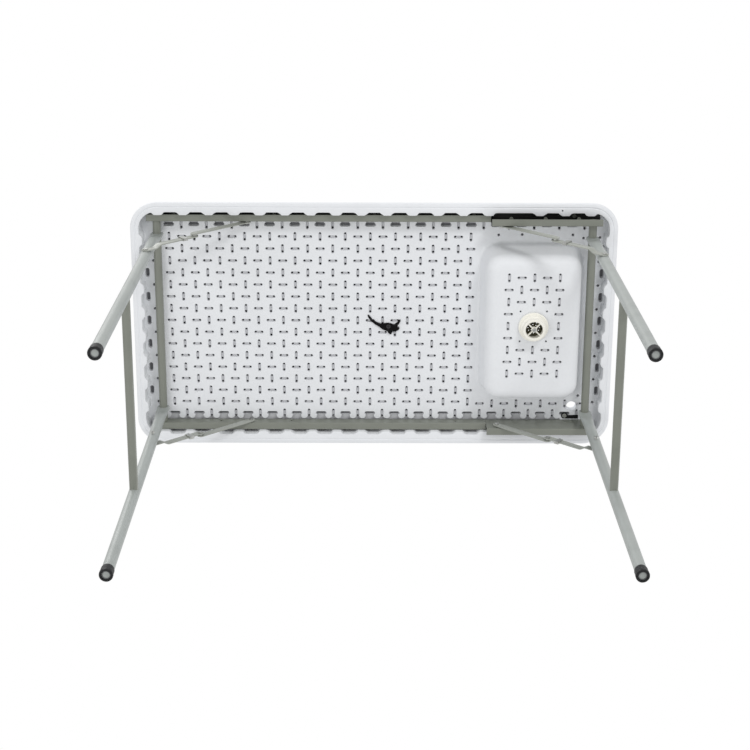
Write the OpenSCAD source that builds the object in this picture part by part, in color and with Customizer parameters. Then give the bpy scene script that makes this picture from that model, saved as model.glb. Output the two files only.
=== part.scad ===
// Folding utility table with a moulded sink basin.
// Frame: millimetres, +Z up. The origin is on the floor under the centre of the top,
// +X points to the basin end and -Y to the front edge.

/* [Table top] */
// Length of the top over its bottom lip
top_length = 1140; // [1120:2:1160]
// Width of the top over its bottom lip
top_width = 602; // [598:1:606]
// Height of the top face above the floor
top_height = 932; // [930:1:936]
// Height of the flat underside of the panel above the floor
underside_z = 908; // [907.5:0.5:909]
// Height of the bottom lip of the skirt above the floor
skirt_z = 867; // [860:1:874]
// Corner radius of the bottom lip in plan
lip_corner_r = 64; // [56:1:72]
// How far the skirt leans in between its lip and its shoulder
skirt_draft = 12; // [8:1:14]
// Radius of the rounded shoulder below the top face
shoulder_r = 22; // [16:1:24]
// Width of the skirt's bottom rim
rim_w = 24; // [20:1:25]
// Plastic wall thickness of the hollow panel and the basin
wall = 2.6; // [2:0.1:3.4]
// Depth of the stiffening teeth inside the long skirts
tooth_depth = 7; // [4:0.5:7.5]
// Pitch of the stiffening teeth, two cells of the underside pattern
tooth_pitch = 59.4; // [58:0.2:60]

/* [Basin] */
// Centre of the basin along the table
basin_x = 374; // [372:0.5:376]
// Centre of the basin across the table
basin_y = -6; // [-8:0.5:-4]
// Length of the basin along X at the underside
basin_l = 242; // [236:1:246]
// Length of the basin along Y at the underside
basin_w = 376; // [370:1:380]
// Height of the outside of the basin's bottom above the floor
basin_floor_z = 822; // [812:1:832]
// Thickness of the basin's bottom, where its two skins are joined by dimples.
basin_floor_t = 9; // [5:0.5:12]
// Draft of the basin's walls from the underside to the bottom
basin_draft = 9; // [6:0.5:12]
// Radius of the bottom edge of the basin
basin_edge_r = 30; // [24:1:34]
// Corner radius of the basin in plan
basin_corner_r = 46; // [40:1:50]

/* [Drain and faucet] */
// Centre of the drain along X
drain_x = 374.8; // [372:0.2:378]
// Centre of the drain along Y
drain_y = -14.7; // [-16:0.1:-13]
// Radius of the hole in the basin's bottom
drain_hole_r = 23; // [21:0.5:25]
// Radius of the drain's flanges
drain_flange_r = 35.5; // [33:0.5:37]
// Outside radius of the drain's outlet
outlet_r = 26.5; // [26:0.5:28]
// Inside radius of the drain's outlet
outlet_bore_r = 20; // [18:0.5:21]
// How far the outlet stands below the basin's bottom
outlet_drop = 29; // [24:1:34]
// Centre of the faucet hole along X
faucet_x = 482; // [480:1:484]
// Centre of the faucet hole along Y
faucet_y = 218; // [216:1:220]
// Radius of the faucet hole
faucet_r = 12; // [10:0.5:14]

/* [Rails] */
// Half length of the side rails
rail_half_l = 533; // [528:1:534]
// Distance of the rails' inner face from the table's centre line
rail_y = 252; // [251.5:0.5:252.5]
// Width of the rails' flanges
rail_w = 16.5; // [14:0.5:17]
// Height of the side rails
rail_h = 29; // [28:0.5:30]
// Sheet thickness of the rails
sheet = 1.5; // [1.2:0.1:1.8]
// Height of the drop channels below the rails at the basin end
channel_h = 35.5; // [34:0.5:38]
// Where the drop channels start along X
channel_x0 = 273; // [268:1:276]
// Where the drop channels end along X
channel_x1 = 531; // [526:1:532]

/* [Leg frames] */
// Distance of each fold axis from the table's centre
pivot_x = 510; // [508:0.5:512]
// Height of the plain end's fold axis above the floor
left_pivot_z = 892; // [891:0.5:892.5]
// How much lower the basin end's fold axis is, so that one frame folds over the other
pivot_drop = 27; // [26.5:0.5:27.5]
// Outer diameter of the legs
leg_d = 25.4; // [25:0.1:25.4]
// Outer diameter of the cross tubes and crossbars
tube_d = 19; // [18:0.5:19.5]
// Wall thickness of the tubes
tube_wall = 1.2; // [1:0.1:1.6]
// Distance of a leg's top from the table's centre line
leg_y = 218; // [216:0.5:219]
// Outward lean of a leg along X, over the height of the plain end's fold axis
lean_x = 21; // [18:0.5:24]
// Outward lean of a leg along Y, over the same height
lean_y = 14; // [13:0.5:14]
// Height of the crossbars above the floor
crossbar_z = 391; // [370:1:410]
// Radius of the foot caps
foot_r = 14.4; // [14.2:0.1:14.6]
// Length of the foot caps' sleeves
foot_sleeve = 27; // [22:1:32]

/* [Braces] */
// Distance of the rail pivot from the fold axis along the rail
anchor_u = 212; // [210:0.5:214]
// How far the rail pivot lies below the fold axis
anchor_drop = 3; // [2:0.5:4]
// Distance of the leg pivot from the fold axis along the leg
leg_pivot_s = 196; // [195:0.5:197]
// Width of the brace links
link_w = 18; // [16:0.5:18]
// Thickness of the brace links
link_t = 2.5; // [2:0.1:2.6]
// Radius of the rivets
rivet_r = 3; // [2.5:0.1:3.2]
// Radial clearance of each link on its rivet
rivet_play = 0.05; // [0.02:0.01:0.09]

/* [Hidden] */
$fn = 64;

hull_fn = 32;
half_l = top_length / 2;
half_w = top_width / 2;
inner_half_l = half_l - rim_w + 4;
inner_half_w = half_w - rim_w;
inner_corner_r = lip_corner_r - rim_w;
panel_t = top_height - underside_z;
tooth_base_w = 32;
tooth_tip_w = 17;
teeth_per_half = 9;
end_tooth_y = [-148.5, -89.1, -29.7, 29.7, 89.1, 148.5];
vent_x = 438;
vent_r = 2.4;
boss_r = 6;
skin_z1 = top_height - wall;

basin_top_z = top_height + 1;

web_hole_r = 3;
web_hole_x = [200, 371];
rail_screw_x = [-470, -235, 0, 235, 470];
rail_screw_r = 2;
rail_screw_head_r = 4.5;
rail_screw_head_h = 2.4;
rail_screw_grip = 10;
channel_screw_x = [320, 400, 478];
pivot_play = 0.06;
rail_bottom_z = underside_z - rail_h;
channel_bottom_z = rail_bottom_z - channel_h;
flange_mid_y = rail_y + rail_w / 2 + 1;

right_pivot_z = left_pivot_z - pivot_drop;
splay_x = atan(lean_x / left_pivot_z);
splay_y = atan(lean_y / left_pivot_z);
tongue_t = 5;
tongue_r = 15;
taper_start = 76;
taper_end = 26;
tube_end_y = rail_y + 10;

// The brace, in the plane of the fold: u runs inwards from the fold axis and w upwards.
leg_pivot_u = -leg_pivot_s * sin(splay_x);
leg_pivot_w = -leg_pivot_s * cos(splay_x);
brace_angle = atan2(-anchor_drop - leg_pivot_w, anchor_u - leg_pivot_u);
brace_l = norm([anchor_u - leg_pivot_u, -anchor_drop - leg_pivot_w]);
link_difference = anchor_u - leg_pivot_s;
rail_link_l = (brace_l + link_difference) / 2;
leg_link_l = (brace_l - link_difference) / 2;
// Layers of the brace, as distances from the table's centre line.
leg_side_y = 234.5;
leg_link_y = 241.5;
rail_link_y = 247;
jog_start = 24;
jog_end = 40;
rivet_head_r = 5.5;
rivet_head_h = 1.7;
head_gap = 0.3;
ring_l = 12;
ring_wall = 1.7;
ring_play = 0.4;
ring_from_joint = 38;

strap_x = 35;
strap_y = 13;
strap_t = 2.6;
clip_x = 466;
clip_y = 242;

steel_grey = [0.55, 0.57, 0.53];
leg_grey = [0.74, 0.76, 0.75];
top_white = [0.93, 0.94, 0.95];
drain_white = [0.93, 0.92, 0.86];
zinc = [0.72, 0.72, 0.70];
black_rubber = [0.10, 0.10, 0.10];

// ---- helpers -------------------------------------------------------------------------

// Rounded rectangle centred on the origin.
module rounded_rect(l, w, r) {
    square([l - 2 * r, w], center = true);
    square([l, w - 2 * r], center = true);
    for (x = [-1, 1], y = [-1, 1])
        translate([x * (l / 2 - r), y * (w / 2 - r)]) circle(r = r);
}

// Flat link outline from the origin along +X with round ends.
module stadium(l, w) {
    translate([0, -w / 2]) square([l, w]);
    circle(d = w);
    translate([l, 0]) circle(d = w);
}

// Thickens a flat shape in XZ between y0 and y0 + t.
module plate_xz(y0, t) {
    translate([0, y0 + t, 0]) rotate([90, 0, 0]) linear_extrude(t) children();
}

// Cylinder along +Y from y0 to y1.
module rod_y(r, y0, y1) {
    translate([0, y1, 0]) rotate([90, 0, 0]) cylinder(r = r, h = y1 - y0);
}

// Moves children from the frame of a fold axis to one end of the table: they are drawn for
// the left rear corner, with u along +X, outboard along +Y and the origin on the fold axis.
module at_corner(end, edge) {
    if (end == "left" && edge == "rear") place_axis(left_pivot_z) children();
    if (end == "left" && edge == "front") mirror([0, 1, 0]) place_axis(left_pivot_z) children();
    if (end == "right" && edge == "rear") mirror([1, 0, 0]) place_axis(right_pivot_z) children();
    if (end == "right" && edge == "front")
        mirror([1, 0, 0]) mirror([0, 1, 0]) place_axis(right_pivot_z) children();
}

module place_axis(z) {
    translate([-pivot_x, 0, z]) children();
}

function pivot_z(end) = end == "left" ? left_pivot_z : right_pivot_z;
// Length of a leg's axis from its fold axis to the floor.
function leg_l(end) = pivot_z(end) * sqrt(1 + pow(tan(splay_x), 2) + pow(tan(splay_y), 2));

// Turns children so that -Z runs down the leaning leg, from its top on the fold axis.
module along_leg() {
    a = atan(tan(splay_y) * cos(splay_x));
    translate([0, leg_y, 0]) rotate([a, splay_x, 0]) children();
}

// ---- table top -----------------------------------------------------------------------

// Outside of the moulding: a lip, a leaning skirt and a rounded shoulder.
module top_outside() {
    hull() {
        translate([0, 0, skirt_z])
            linear_extrude(5) rounded_rect(top_length, top_width, lip_corner_r, $fn = hull_fn);
        for (k = [0:5]) {
            a = k * 18;
            inset = skirt_draft + shoulder_r * (1 - cos(a));
            translate([0, 0, top_height - shoulder_r * (1 - sin(a)) - 0.5])
                linear_extrude(0.5)
                    rounded_rect(top_length - 2 * inset, top_width - 2 * inset, lip_corner_r - inset + 8,
                        $fn = hull_fn);
        }
    }
}

// Space under the panel, inside the skirt.
module under_space() {
    translate([0, 0, skirt_z - 1])
        linear_extrude(underside_z - skirt_z + 1)
            rounded_rect(2 * inner_half_l, 2 * inner_half_w, inner_corner_r);
}

// One stiffening tooth with its root at the origin, pointing to -Y.
module skirt_tooth() {
    translate([0, 0, skirt_z + 1.5])
        linear_extrude(underside_z - skirt_z - 1.5)
            polygon([[-tooth_base_w / 2, 1], [tooth_base_w / 2, 1],
                     [tooth_tip_w / 2, -tooth_depth], [-tooth_tip_w / 2, -tooth_depth]]);
}

// Stiffening teeth on the inside of the skirts.
module skirt_teeth() {
    for (k = [-teeth_per_half:teeth_per_half - 1], edge = [0, 180])
        rotate([0, 0, edge]) translate([(2 * k + 1) * tooth_pitch / 2, inner_half_w, 0]) skirt_tooth();
    for (y = end_tooth_y, side = [-90, 90])
        rotate([0, 0, side]) translate([y, inner_half_l, 0]) skirt_tooth();
}

// Basin as a tub that narrows to its bottom, grown inwards by off, with its bottom raised by lift.
module basin_form(off, lift = 0) {
    r_top = basin_corner_r - off;
    r_low = basin_edge_r - off;
    hull() {
        for (x = [-1, 1], y = [-1, 1]) {
            translate([basin_x + x * (basin_l / 2 - basin_corner_r),
                       basin_y + y * (basin_w / 2 - basin_corner_r), underside_z - 4])
                cylinder(r = r_top, h = basin_top_z - underside_z + 4, $fn = hull_fn);
            translate([basin_x + x * (basin_l / 2 - basin_draft - basin_edge_r - 10),
                       basin_y + y * (basin_w / 2 - basin_draft - basin_edge_r - 10),
                       basin_floor_z + lift + basin_edge_r])
                cylinder_with_round_end(r_low + 10, r_low);
        }
    }
}

// Short disc of radius r whose lower edge is rounded to e.
module cylinder_with_round_end(r, e) {
    for (k = [0:4]) {
        a = k * 22.5;
        translate([0, 0, -e * sin(a)]) cylinder(r = r - e * (1 - cos(a)), h = 0.5, $fn = hull_fn);
    }
}

// Outline of the air space between the two skins of the moulding.
module air_outline() {
    rounded_rect(top_length - 2 * (skirt_draft + shoulder_r), top_width - 2 * (skirt_draft + shoulder_r),
        lip_corner_r - 20);
}

// Places where screws go up into the underside.
module at_screw_bosses() {
    for (x = rail_screw_x, edge = [-1, 1]) translate([x, edge * flange_mid_y]) children();
    translate([strap_x, strap_y]) children();
    translate([clip_x, clip_y]) children();
}

// Slab that reaches past the top in plan, from z0 to z1.
module slab(z0, z1) {
    translate([-half_l - 1, -half_w - 1, z0]) cube([top_length + 2, top_width + 2, z1 - z0]);
}

// Upper skin of the moulding with its rounded shoulder and the wall of the faucet hole.
module table_top() {
    color(top_white)
        difference() {
            union() {
                difference() {
                    intersection() {
                        top_outside();
                        slab(underside_z, top_height + 1);
                    }
                    translate([0, 0, underside_z - 1])
                        linear_extrude(skin_z1 - underside_z + 1) air_outline();
                }
                translate([faucet_x, faucet_y, underside_z]) cylinder(r = faucet_r + wall, h = panel_t);
            }
            basin_form(0);
            translate([faucet_x, faucet_y, underside_z - 5]) cylinder(r = faucet_r, h = panel_t + 10);
        }
}

// Lower skin of the moulding, with a boss for each screw.
module top_underside() {
    color(top_white)
        difference() {
            union() {
                translate([0, 0, underside_z]) linear_extrude(wall) air_outline();
                translate([0, 0, underside_z]) linear_extrude(skin_z1 - underside_z) intersection() {
                    air_outline();
                    at_screw_bosses() circle(r = boss_r);
                }
            }
            basin_form(0);
            translate([faucet_x, faucet_y, underside_z - 5]) cylinder(r = faucet_r + wall, h = panel_t + 10);
            translate([0, 0, underside_z - 1])
                linear_extrude(rail_screw_grip + 1) at_screw_bosses() circle(r = rail_screw_r);
        }
}

// Skirt round the moulding below the panel, with its lip and teeth.
module top_skirt() {
    color(top_white)
        difference() {
            intersection() {
                union() {
                    difference() {
                        top_outside();
                        under_space();
                    }
                    skirt_teeth();
                }
                slab(skirt_z, underside_z);
            }
            translate([vent_x, -half_w + rim_w / 2 + 2, skirt_z - 1]) cylinder(r = vent_r, h = 12);
        }
}

// Tub of the basin, open at the top face.
module sink_basin() {
    color(top_white)
        difference() {
            intersection() {
                basin_form(0);
                slab(basin_floor_z - 1, top_height);
            }
            basin_form(wall, basin_floor_t - wall);
            translate([drain_x, drain_y, basin_floor_z - 5]) cylinder(r = drain_hole_r, h = 20);
        }
}

// ---- rails ---------------------------------------------------------------------------

// C section for the rear edge, open outboard, between x0 and x1 and from z0 up by h.
module c_section(x0, x1, z0, h) {
    translate([x0, 0, 0]) rotate([90, 0, 90]) linear_extrude(x1 - x0)
        translate([rail_y, z0]) {
            square([sheet, h]);
            square([rail_w, sheet]);
            translate([0, h - sheet]) square([rail_w, sheet]);
        }
}

module side_rail() {
    difference() {
        c_section(-rail_half_l, rail_half_l, rail_bottom_z, rail_h);
        translate([-pivot_x, 0, left_pivot_z]) rod_y(tube_d / 2 + pivot_play, rail_y - 1, rail_y + 5);
        for (side = [-1, 1], x = web_hole_x)
            translate([side * x, 0, underside_z - rail_h / 2]) rod_y(web_hole_r, rail_y - 1, rail_y + 3);
        translate([-pivot_x + anchor_u, 0, left_pivot_z - anchor_drop])
            rod_y(rivet_r, rail_y - 1, rail_y + 3);
        for (x = rail_screw_x)
            translate([x, flange_mid_y, rail_bottom_z - 1]) {
                cylinder(r = rail_screw_r, h = rail_h + 2);
                cylinder(r = rail_screw_head_r + 0.5, h = 5);
            }
        for (x = channel_screw_x)
            translate([x, flange_mid_y, rail_bottom_z - 1]) cylinder(r = rail_screw_r, h = 5);
    }
}

module drop_channel() {
    difference() {
        c_section(channel_x0, channel_x1, channel_bottom_z, channel_h);
        translate([pivot_x, 0, right_pivot_z]) rod_y(tube_d / 2 + pivot_play, rail_y - 1, rail_y + 5);
        translate([pivot_x - anchor_u, 0, right_pivot_z - anchor_drop])
            rod_y(rivet_r, rail_y - 1, rail_y + 3);
        for (x = channel_screw_x)
            translate([x, flange_mid_y, channel_bottom_z - 1]) {
                cylinder(r = rail_screw_r, h = channel_h + 2);
                cylinder(r = rail_screw_head_r + 0.5, h = 5);
            }
    }
}

module side_rail_front() { color(steel_grey) mirror([0, 1, 0]) side_rail(); }
module side_rail_rear() { color(steel_grey) side_rail(); }
module drop_channel_front() { color(steel_grey) mirror([0, 1, 0]) drop_channel(); }
module drop_channel_rear() { color(steel_grey) drop_channel(); }

// Pan head screw with its head's flat face at the origin and its shank along +Z.
module pan_screw(grip, head_r = rail_screw_head_r) {
    translate([0, 0, -rail_screw_head_h])
        difference() {
            cylinder(r = head_r, h = rail_screw_head_h);
            for (a = [0, 90]) rotate([0, 0, a])
                translate([-head_r * 0.55, -0.45, -0.1]) cube([head_r * 1.1, 0.9, 1.3]);
        }
    cylinder(r = rail_screw_r, h = grip);
}

// The screws that hold one rail's upper flange to the panel.
module rail_screws() {
    for (x = rail_screw_x)
        translate([x, flange_mid_y, underside_z - sheet]) pan_screw(sheet + rail_screw_grip);
}

module rail_screws_front() { color(zinc) mirror([0, 1, 0]) rail_screws(); }
module rail_screws_rear() { color(zinc) rail_screws(); }

// The screws that hold both drop channels under the rails.
module channel_screws() {
    color(zinc)
        for (x = channel_screw_x, edge = [-1, 1])
            translate([x, edge * flange_mid_y, rail_bottom_z - sheet]) pan_screw(2 * sheet + 4);
}

// Fixed rivets on which the rail links turn.
module rail_rivets() {
    color(zinc)
        for (end = ["left", "right"], edge = ["front", "rear"])
            at_corner(end, edge) translate([anchor_u, 0, -anchor_drop]) {
                rod_y(rivet_r, rail_link_y - head_gap - rivet_head_h, rail_y + sheet + 1.5);
                rod_y(rivet_head_r, rail_link_y - head_gap - rivet_head_h, rail_link_y - head_gap);
                rod_y(rivet_head_r, rail_link_y + link_t + head_gap, rail_y);
                rod_y(rivet_head_r - 1, rail_y + sheet, rail_y + sheet + 1.5);
            }
}

// ---- drain ---------------------------------------------------------------------------

inner_floor_z = basin_floor_z + basin_floor_t;

// Strainer seated on the basin's floor, with slots round its dish.
module sink_strainer() {
    color(drain_white)
        translate([drain_x, drain_y, 0])
            difference() {
                union() {
                    translate([0, 0, inner_floor_z])
                        cylinder(r1 = drain_flange_r, r2 = drain_flange_r - 1.5, h = 2.4);
                    translate([0, 0, basin_floor_z - 8])
                        cylinder(r = drain_hole_r - 0.5, h = 8 + basin_floor_t);
                }
                translate([0, 0, basin_floor_z - 6]) cylinder(r = outlet_bore_r, h = 30);
                for (a = [0:30:330]) rotate([0, 0, a])
                    translate([13, 0, basin_floor_z - 9]) cylinder(r = 2.2, h = 5);
                for (a = [0:60:300]) rotate([0, 0, a])
                    translate([7.6, 0, basin_floor_z - 9]) cylinder(r = 2, h = 5);
                translate([0, 0, basin_floor_z - 9]) cylinder(r = 2.2, h = 5);
            }
}

module drain_gasket() {
    color(black_rubber)
        translate([drain_x, drain_y, basin_floor_z - 2])
            difference() {
                cylinder(r = drain_flange_r - 2.5, h = 2);
                translate([0, 0, -1]) cylinder(r = drain_hole_r, h = 4);
            }
}

// Outlet cup below the basin, with four spokes round its screw boss.
module drain_body() {
    top_z = basin_floor_z - 2;
    outlet_z = basin_floor_z - outlet_drop;
    color(drain_white)
        translate([drain_x, drain_y, 0]) {
            difference() {
                union() {
                    translate([0, 0, top_z - 4]) cylinder(r = drain_flange_r, h = 4);
                    translate([0, 0, top_z - 10]) cylinder(r = drain_flange_r - 5, h = 7);
                    translate([0, 0, outlet_z]) cylinder(r = outlet_r, h = top_z - outlet_z);
                }
                translate([0, 0, top_z - 6.5]) cylinder(r = drain_hole_r, h = 8);
                translate([0, 0, outlet_z - 1]) cylinder(r = outlet_bore_r, h = 40);
            }
            difference() {
                union() {
                    for (a = [45, 135]) rotate([0, 0, a])
                        translate([-outlet_bore_r - 1, -1.4, outlet_z + 5])
                            cube([2 * outlet_bore_r + 2, 2.8, 5]);
                    translate([0, 0, outlet_z + 3]) cylinder(r = 6.5, h = 8);
                }
                translate([0, 0, outlet_z]) cylinder(r = 2.5, h = 20);
            }
        }
}

module drain_screw() {
    outlet_z = basin_floor_z - outlet_drop;
    color(zinc)
        translate([drain_x, drain_y, outlet_z + 3])
            union() {
                translate([0, 0, -rail_screw_head_h])
                    difference() {
                        cylinder(r = 5, h = rail_screw_head_h);
                        translate([-3.5, -0.6, -0.1]) cube([7, 1.2, 1.3]);
                    }
                cylinder(r = rail_screw_r, h = outlet_drop - 3 - 4);
            }
}

// ---- strap and clip --------------------------------------------------------------------

// Retaining strap for the folded legs, lying bunched under its screw.
module leg_strap() {
    color(black_rubber)
        translate([strap_x, strap_y, underside_z - strap_t])
            difference() {
                linear_extrude(strap_t)
                    union() {
                        polygon([[-48, -27], [-42, -30], [-18, -12], [4, -12],
                                 [8, 10], [-12, 6], [-34, -14]]);
                        polygon([[-12, -10], [14, -12], [26, -16], [27, -10],
                                 [14, 0], [27, 4], [26, 10], [6, 12]]);
                    }
                translate([0, 0, -1]) cylinder(r = rail_screw_r, h = strap_t + 2);
            }
}

module strap_screw() {
    color(zinc)
        translate([strap_x, strap_y, underside_z - strap_t])
            pan_screw(strap_t + rail_screw_grip, 5.2);
}

// Small dark clip beside the rear drop channel.
module corner_clip() {
    color(black_rubber)
        translate([clip_x, clip_y, underside_z - 1.2])
            difference() {
                linear_extrude(1.2)
                    union() {
                        circle(r = 8);
                        translate([0, -1]) square([34, 9]);
                    }
                translate([0, 0, -1]) cylinder(r = rail_screw_r, h = 4);
            }
}

module corner_clip_screw() {
    color(zinc)
        translate([clip_x, clip_y, underside_z - 1.2]) pan_screw(1.2 + rail_screw_grip, 5.2);
}

// ---- leg frames -------------------------------------------------------------------------

// Tube on the fold axis, from rail to rail.
module cross_tube(end) {
    color(steel_grey)
        at_corner(end, "rear")
            difference() {
                rod_y(tube_d / 2, -tube_end_y, tube_end_y);
                rod_y(tube_d / 2 - tube_wall, -tube_end_y - 1, tube_end_y + 1);
            }
}

// One leg: a round tube whose top is flattened to a tongue round the cross tube.
module leg(end, edge) {
    bottom_s = leg_l(end) - 4;
    color(leg_grey)
        at_corner(end, edge)
            difference() {
                along_leg() {
                    translate([0, 0, -bottom_s])
                        difference() {
                            cylinder(d = leg_d, h = bottom_s - taper_start);
                            translate([0, 0, -1])
                                cylinder(d = leg_d - 2 * tube_wall, h = bottom_s - taper_start + 1 - 8);
                        }
                    hull() {
                        translate([0, 0, -taper_start]) cylinder(d = leg_d, h = 1, $fn = hull_fn);
                        translate([-tongue_r, -tongue_t / 2, -taper_end]) cube([2 * tongue_r, tongue_t, 1]);
                    }
                    translate([-tongue_r, -tongue_t / 2, -taper_end])
                        cube([2 * tongue_r, tongue_t, taper_end]);
                    rod_y(tongue_r, -tongue_t / 2, tongue_t / 2);
                }
                rod_y(tube_d / 2, leg_y - 20, leg_y + 20);
                translate([leg_pivot_u, 0, leg_pivot_w]) rod_y(rivet_r, leg_y - 30, leg_y + 40);
            }
}

// Plastic cap on a leg's foot, with a flat sole and a hollow centre.
module foot(end, edge) {
    l = leg_l(end);
    color(black_rubber)
        at_corner(end, edge)
            difference() {
                along_leg()
                    difference() {
                        translate([0, 0, -l - 2]) cylinder(r = foot_r, h = foot_sleeve + 2);
                        translate([0, 0, -l + 4]) cylinder(d = leg_d, h = foot_sleeve);
                        translate([0, 0, -l - 3]) cylinder(r = 9, h = 5.5);
                    }
                translate([-100, 0, -pivot_z(end) - 10]) cube([200, 400, 10]);
            }
}

// Bar between the two legs of a frame, coped to their tubes.
module crossbar(end) {
    drop = pivot_z(end) - crossbar_z;
    reach = leg_y + drop * tan(splay_y);
    color(steel_grey)
        difference() {
            at_corner(end, "rear")
                translate([-drop * tan(splay_x), 0, -drop])
                    difference() {
                        rod_y(tube_d / 2, -reach, reach);
                        rod_y(tube_d / 2 - tube_wall, -reach - 1, reach + 1);
                    }
            for (edge = ["front", "rear"])
                at_corner(end, edge) along_leg()
                    translate([0, 0, -drop - 60]) cylinder(d = leg_d, h = 120);
        }
}

// Rivets through the two legs of a frame, on which the leg links turn.
module leg_rivets(end) {
    color(zinc)
        for (edge = ["front", "rear"])
            at_corner(end, edge) translate([leg_pivot_u, 0, leg_pivot_w]) {
                rod_y(rivet_r, leg_y - 16, leg_side_y + link_t + head_gap + rivet_head_h);
                rod_y(rivet_head_r, leg_side_y + link_t + head_gap,
                      leg_side_y + link_t + head_gap + rivet_head_h);
                rod_y(rivet_head_r - 1, leg_y - 16, leg_y - 13);
            }
}

// ---- braces ---------------------------------------------------------------------------

// Moves children to a brace: +X runs from the leg pivot to the rail pivot.
module along_brace(end, edge) {
    at_corner(end, edge)
        translate([leg_pivot_u, 0, leg_pivot_w]) rotate([0, -brace_angle, 0]) children();
}

// Upper link, from the middle joint to the rail.
module rail_link(end, edge) {
    color(steel_grey)
        along_brace(end, edge)
            translate([leg_link_l, 0, 0])
                difference() {
                    plate_xz(rail_link_y, link_t) stadium(rail_link_l, link_w);
                    for (x = [0, rail_link_l])
                        translate([x, 0, 0])
                            rod_y(rivet_r + rivet_play, rail_link_y - 1, rail_link_y + link_t + 1);
                }
}

// Lower link, from the leg to the middle joint, with a jog that brings it out past the leg.
module leg_link(end, edge) {
    tip = link_w / 2 + 1;
    color(steel_grey)
        along_brace(end, edge)
            difference() {
                intersection() {
                    translate([0, 0, -link_w])
                        linear_extrude(2 * link_w)
                            polygon([[-tip, leg_side_y], [jog_start, leg_side_y], [jog_end, leg_link_y],
                                     [leg_link_l + tip, leg_link_y], [leg_link_l + tip, leg_link_y + link_t],
                                     [jog_end - 1, leg_link_y + link_t], [jog_start - 1, leg_side_y + link_t],
                                     [-tip, leg_side_y + link_t]]);
                    plate_xz(leg_side_y - 1, leg_link_y + link_t + 2 - leg_side_y)
                        stadium(leg_link_l, link_w);
                }
                rod_y(rivet_r + rivet_play, leg_side_y - 1, leg_side_y + link_t + 1);
                translate([leg_link_l, 0, 0]) rod_y(rivet_r, leg_link_y - 1, leg_link_y + link_t + 1);
            }
}

// Sliding ring on the lower link that keeps the middle joint straight.
module lock_ring(end, edge) {
    opening_w = link_w + 2 * ring_play;
    opening_t = link_t + 2 * ring_play;
    color(zinc)
        along_brace(end, edge)
            translate([leg_link_l - ring_from_joint, leg_link_y - ring_play, 0])
                rotate([90, 0, 90]) linear_extrude(ring_l)
                    difference() {
                        translate([-ring_wall, -opening_w / 2 - ring_wall])
                            square([opening_t + 2 * ring_wall, opening_w + 2 * ring_wall]);
                        translate([0, -opening_w / 2]) square([opening_t, opening_w]);
                    }
}

// Rivet of the middle joint: it fills the lower link and ends short of the upper one.
module mid_rivet(end, edge) {
    color(zinc)
        along_brace(end, edge)
            translate([leg_link_l, 0, 0]) {
                rod_y(rivet_r, leg_link_y - rivet_head_h, rail_link_y - head_gap);
                rod_y(rivet_head_r, leg_link_y - rivet_head_h, leg_link_y);
                rod_y(rivet_head_r, leg_link_y + link_t, rail_link_y - head_gap);
            }
}

table_top();
top_underside();
top_skirt();
sink_basin();
side_rail_front();
side_rail_rear();
drop_channel_front();
drop_channel_rear();
rail_screws_front();
rail_screws_rear();
channel_screws();
rail_rivets();
sink_strainer();
drain_gasket();
drain_body();
drain_screw();
leg_strap();
strap_screw();
corner_clip();
corner_clip_screw();
for (end = ["left", "right"]) {
    cross_tube(end);
    crossbar(end);
    leg_rivets(end);
    for (edge = ["front", "rear"]) {
        leg(end, edge);
        foot(end, edge);
        rail_link(end, edge);
        leg_link(end, edge);
        lock_ring(end, edge);
        mid_rivet(end, edge);
    }
}
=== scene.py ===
"""A folding utility table with a moulded sink basin, seen from below with its legs open."""

import logging
import math
from dataclasses import dataclass, field
from enum import Enum
from typing import Callable, Mapping, Sequence

import bpy
import numpy as np
from mathutils import Euler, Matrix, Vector

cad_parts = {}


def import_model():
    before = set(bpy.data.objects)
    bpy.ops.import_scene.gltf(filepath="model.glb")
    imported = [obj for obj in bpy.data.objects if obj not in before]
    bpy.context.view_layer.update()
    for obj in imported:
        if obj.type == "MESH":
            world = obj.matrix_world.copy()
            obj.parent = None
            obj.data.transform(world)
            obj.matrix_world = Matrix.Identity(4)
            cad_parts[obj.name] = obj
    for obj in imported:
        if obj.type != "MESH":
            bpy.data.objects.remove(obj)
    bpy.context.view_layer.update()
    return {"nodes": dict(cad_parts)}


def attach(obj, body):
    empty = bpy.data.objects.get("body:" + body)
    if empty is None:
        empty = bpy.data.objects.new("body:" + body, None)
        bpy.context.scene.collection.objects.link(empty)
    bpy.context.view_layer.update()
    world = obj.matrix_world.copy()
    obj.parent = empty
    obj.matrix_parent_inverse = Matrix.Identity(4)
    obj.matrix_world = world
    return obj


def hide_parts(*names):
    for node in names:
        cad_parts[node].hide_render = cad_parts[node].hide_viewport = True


log = logging.getLogger("utility_table")

Pair = tuple[float, float]
Triple = tuple[float, float, float]
Quad = tuple[float, float, float, float]
Settings = Mapping[str, object]
Sockets = Mapping[str | int, object]
Move = Callable[[np.ndarray], np.ndarray]
Pull = Callable[[np.ndarray, np.ndarray], np.ndarray]

# Every length is in millimetres, apart from the studio's, which are in metres.
MM = 0.001
PITCH = 29.7
UNDER_Z = 908.0
BASIN_BOTTOM_Z = 822.0
BASIN_FLOOR_T = 9.0
DRAIN_CENTRE = (374.8, -14.7)


# ---- surfaces --------------------------------------------------------------------------


@dataclass(frozen=True)
class Shell:
    """Closed surface in millimetres: points, and groups of faces that have equal corner counts."""

    points: np.ndarray
    faces: tuple[np.ndarray, ...]

    def placed(self, place: Move, turned_over: bool = False) -> "Shell":
        """Moves every point.

        Args:
            place: Takes an (n, 3) array and gives the moved one.
            turned_over: True if the move is a mirror, so that the faces are wound back.

        Returns:
            The moved shell.
        """
        faces = tuple(f[:, ::-1] for f in self.faces) if turned_over else self.faces
        return Shell(place(self.points), faces)


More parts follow.
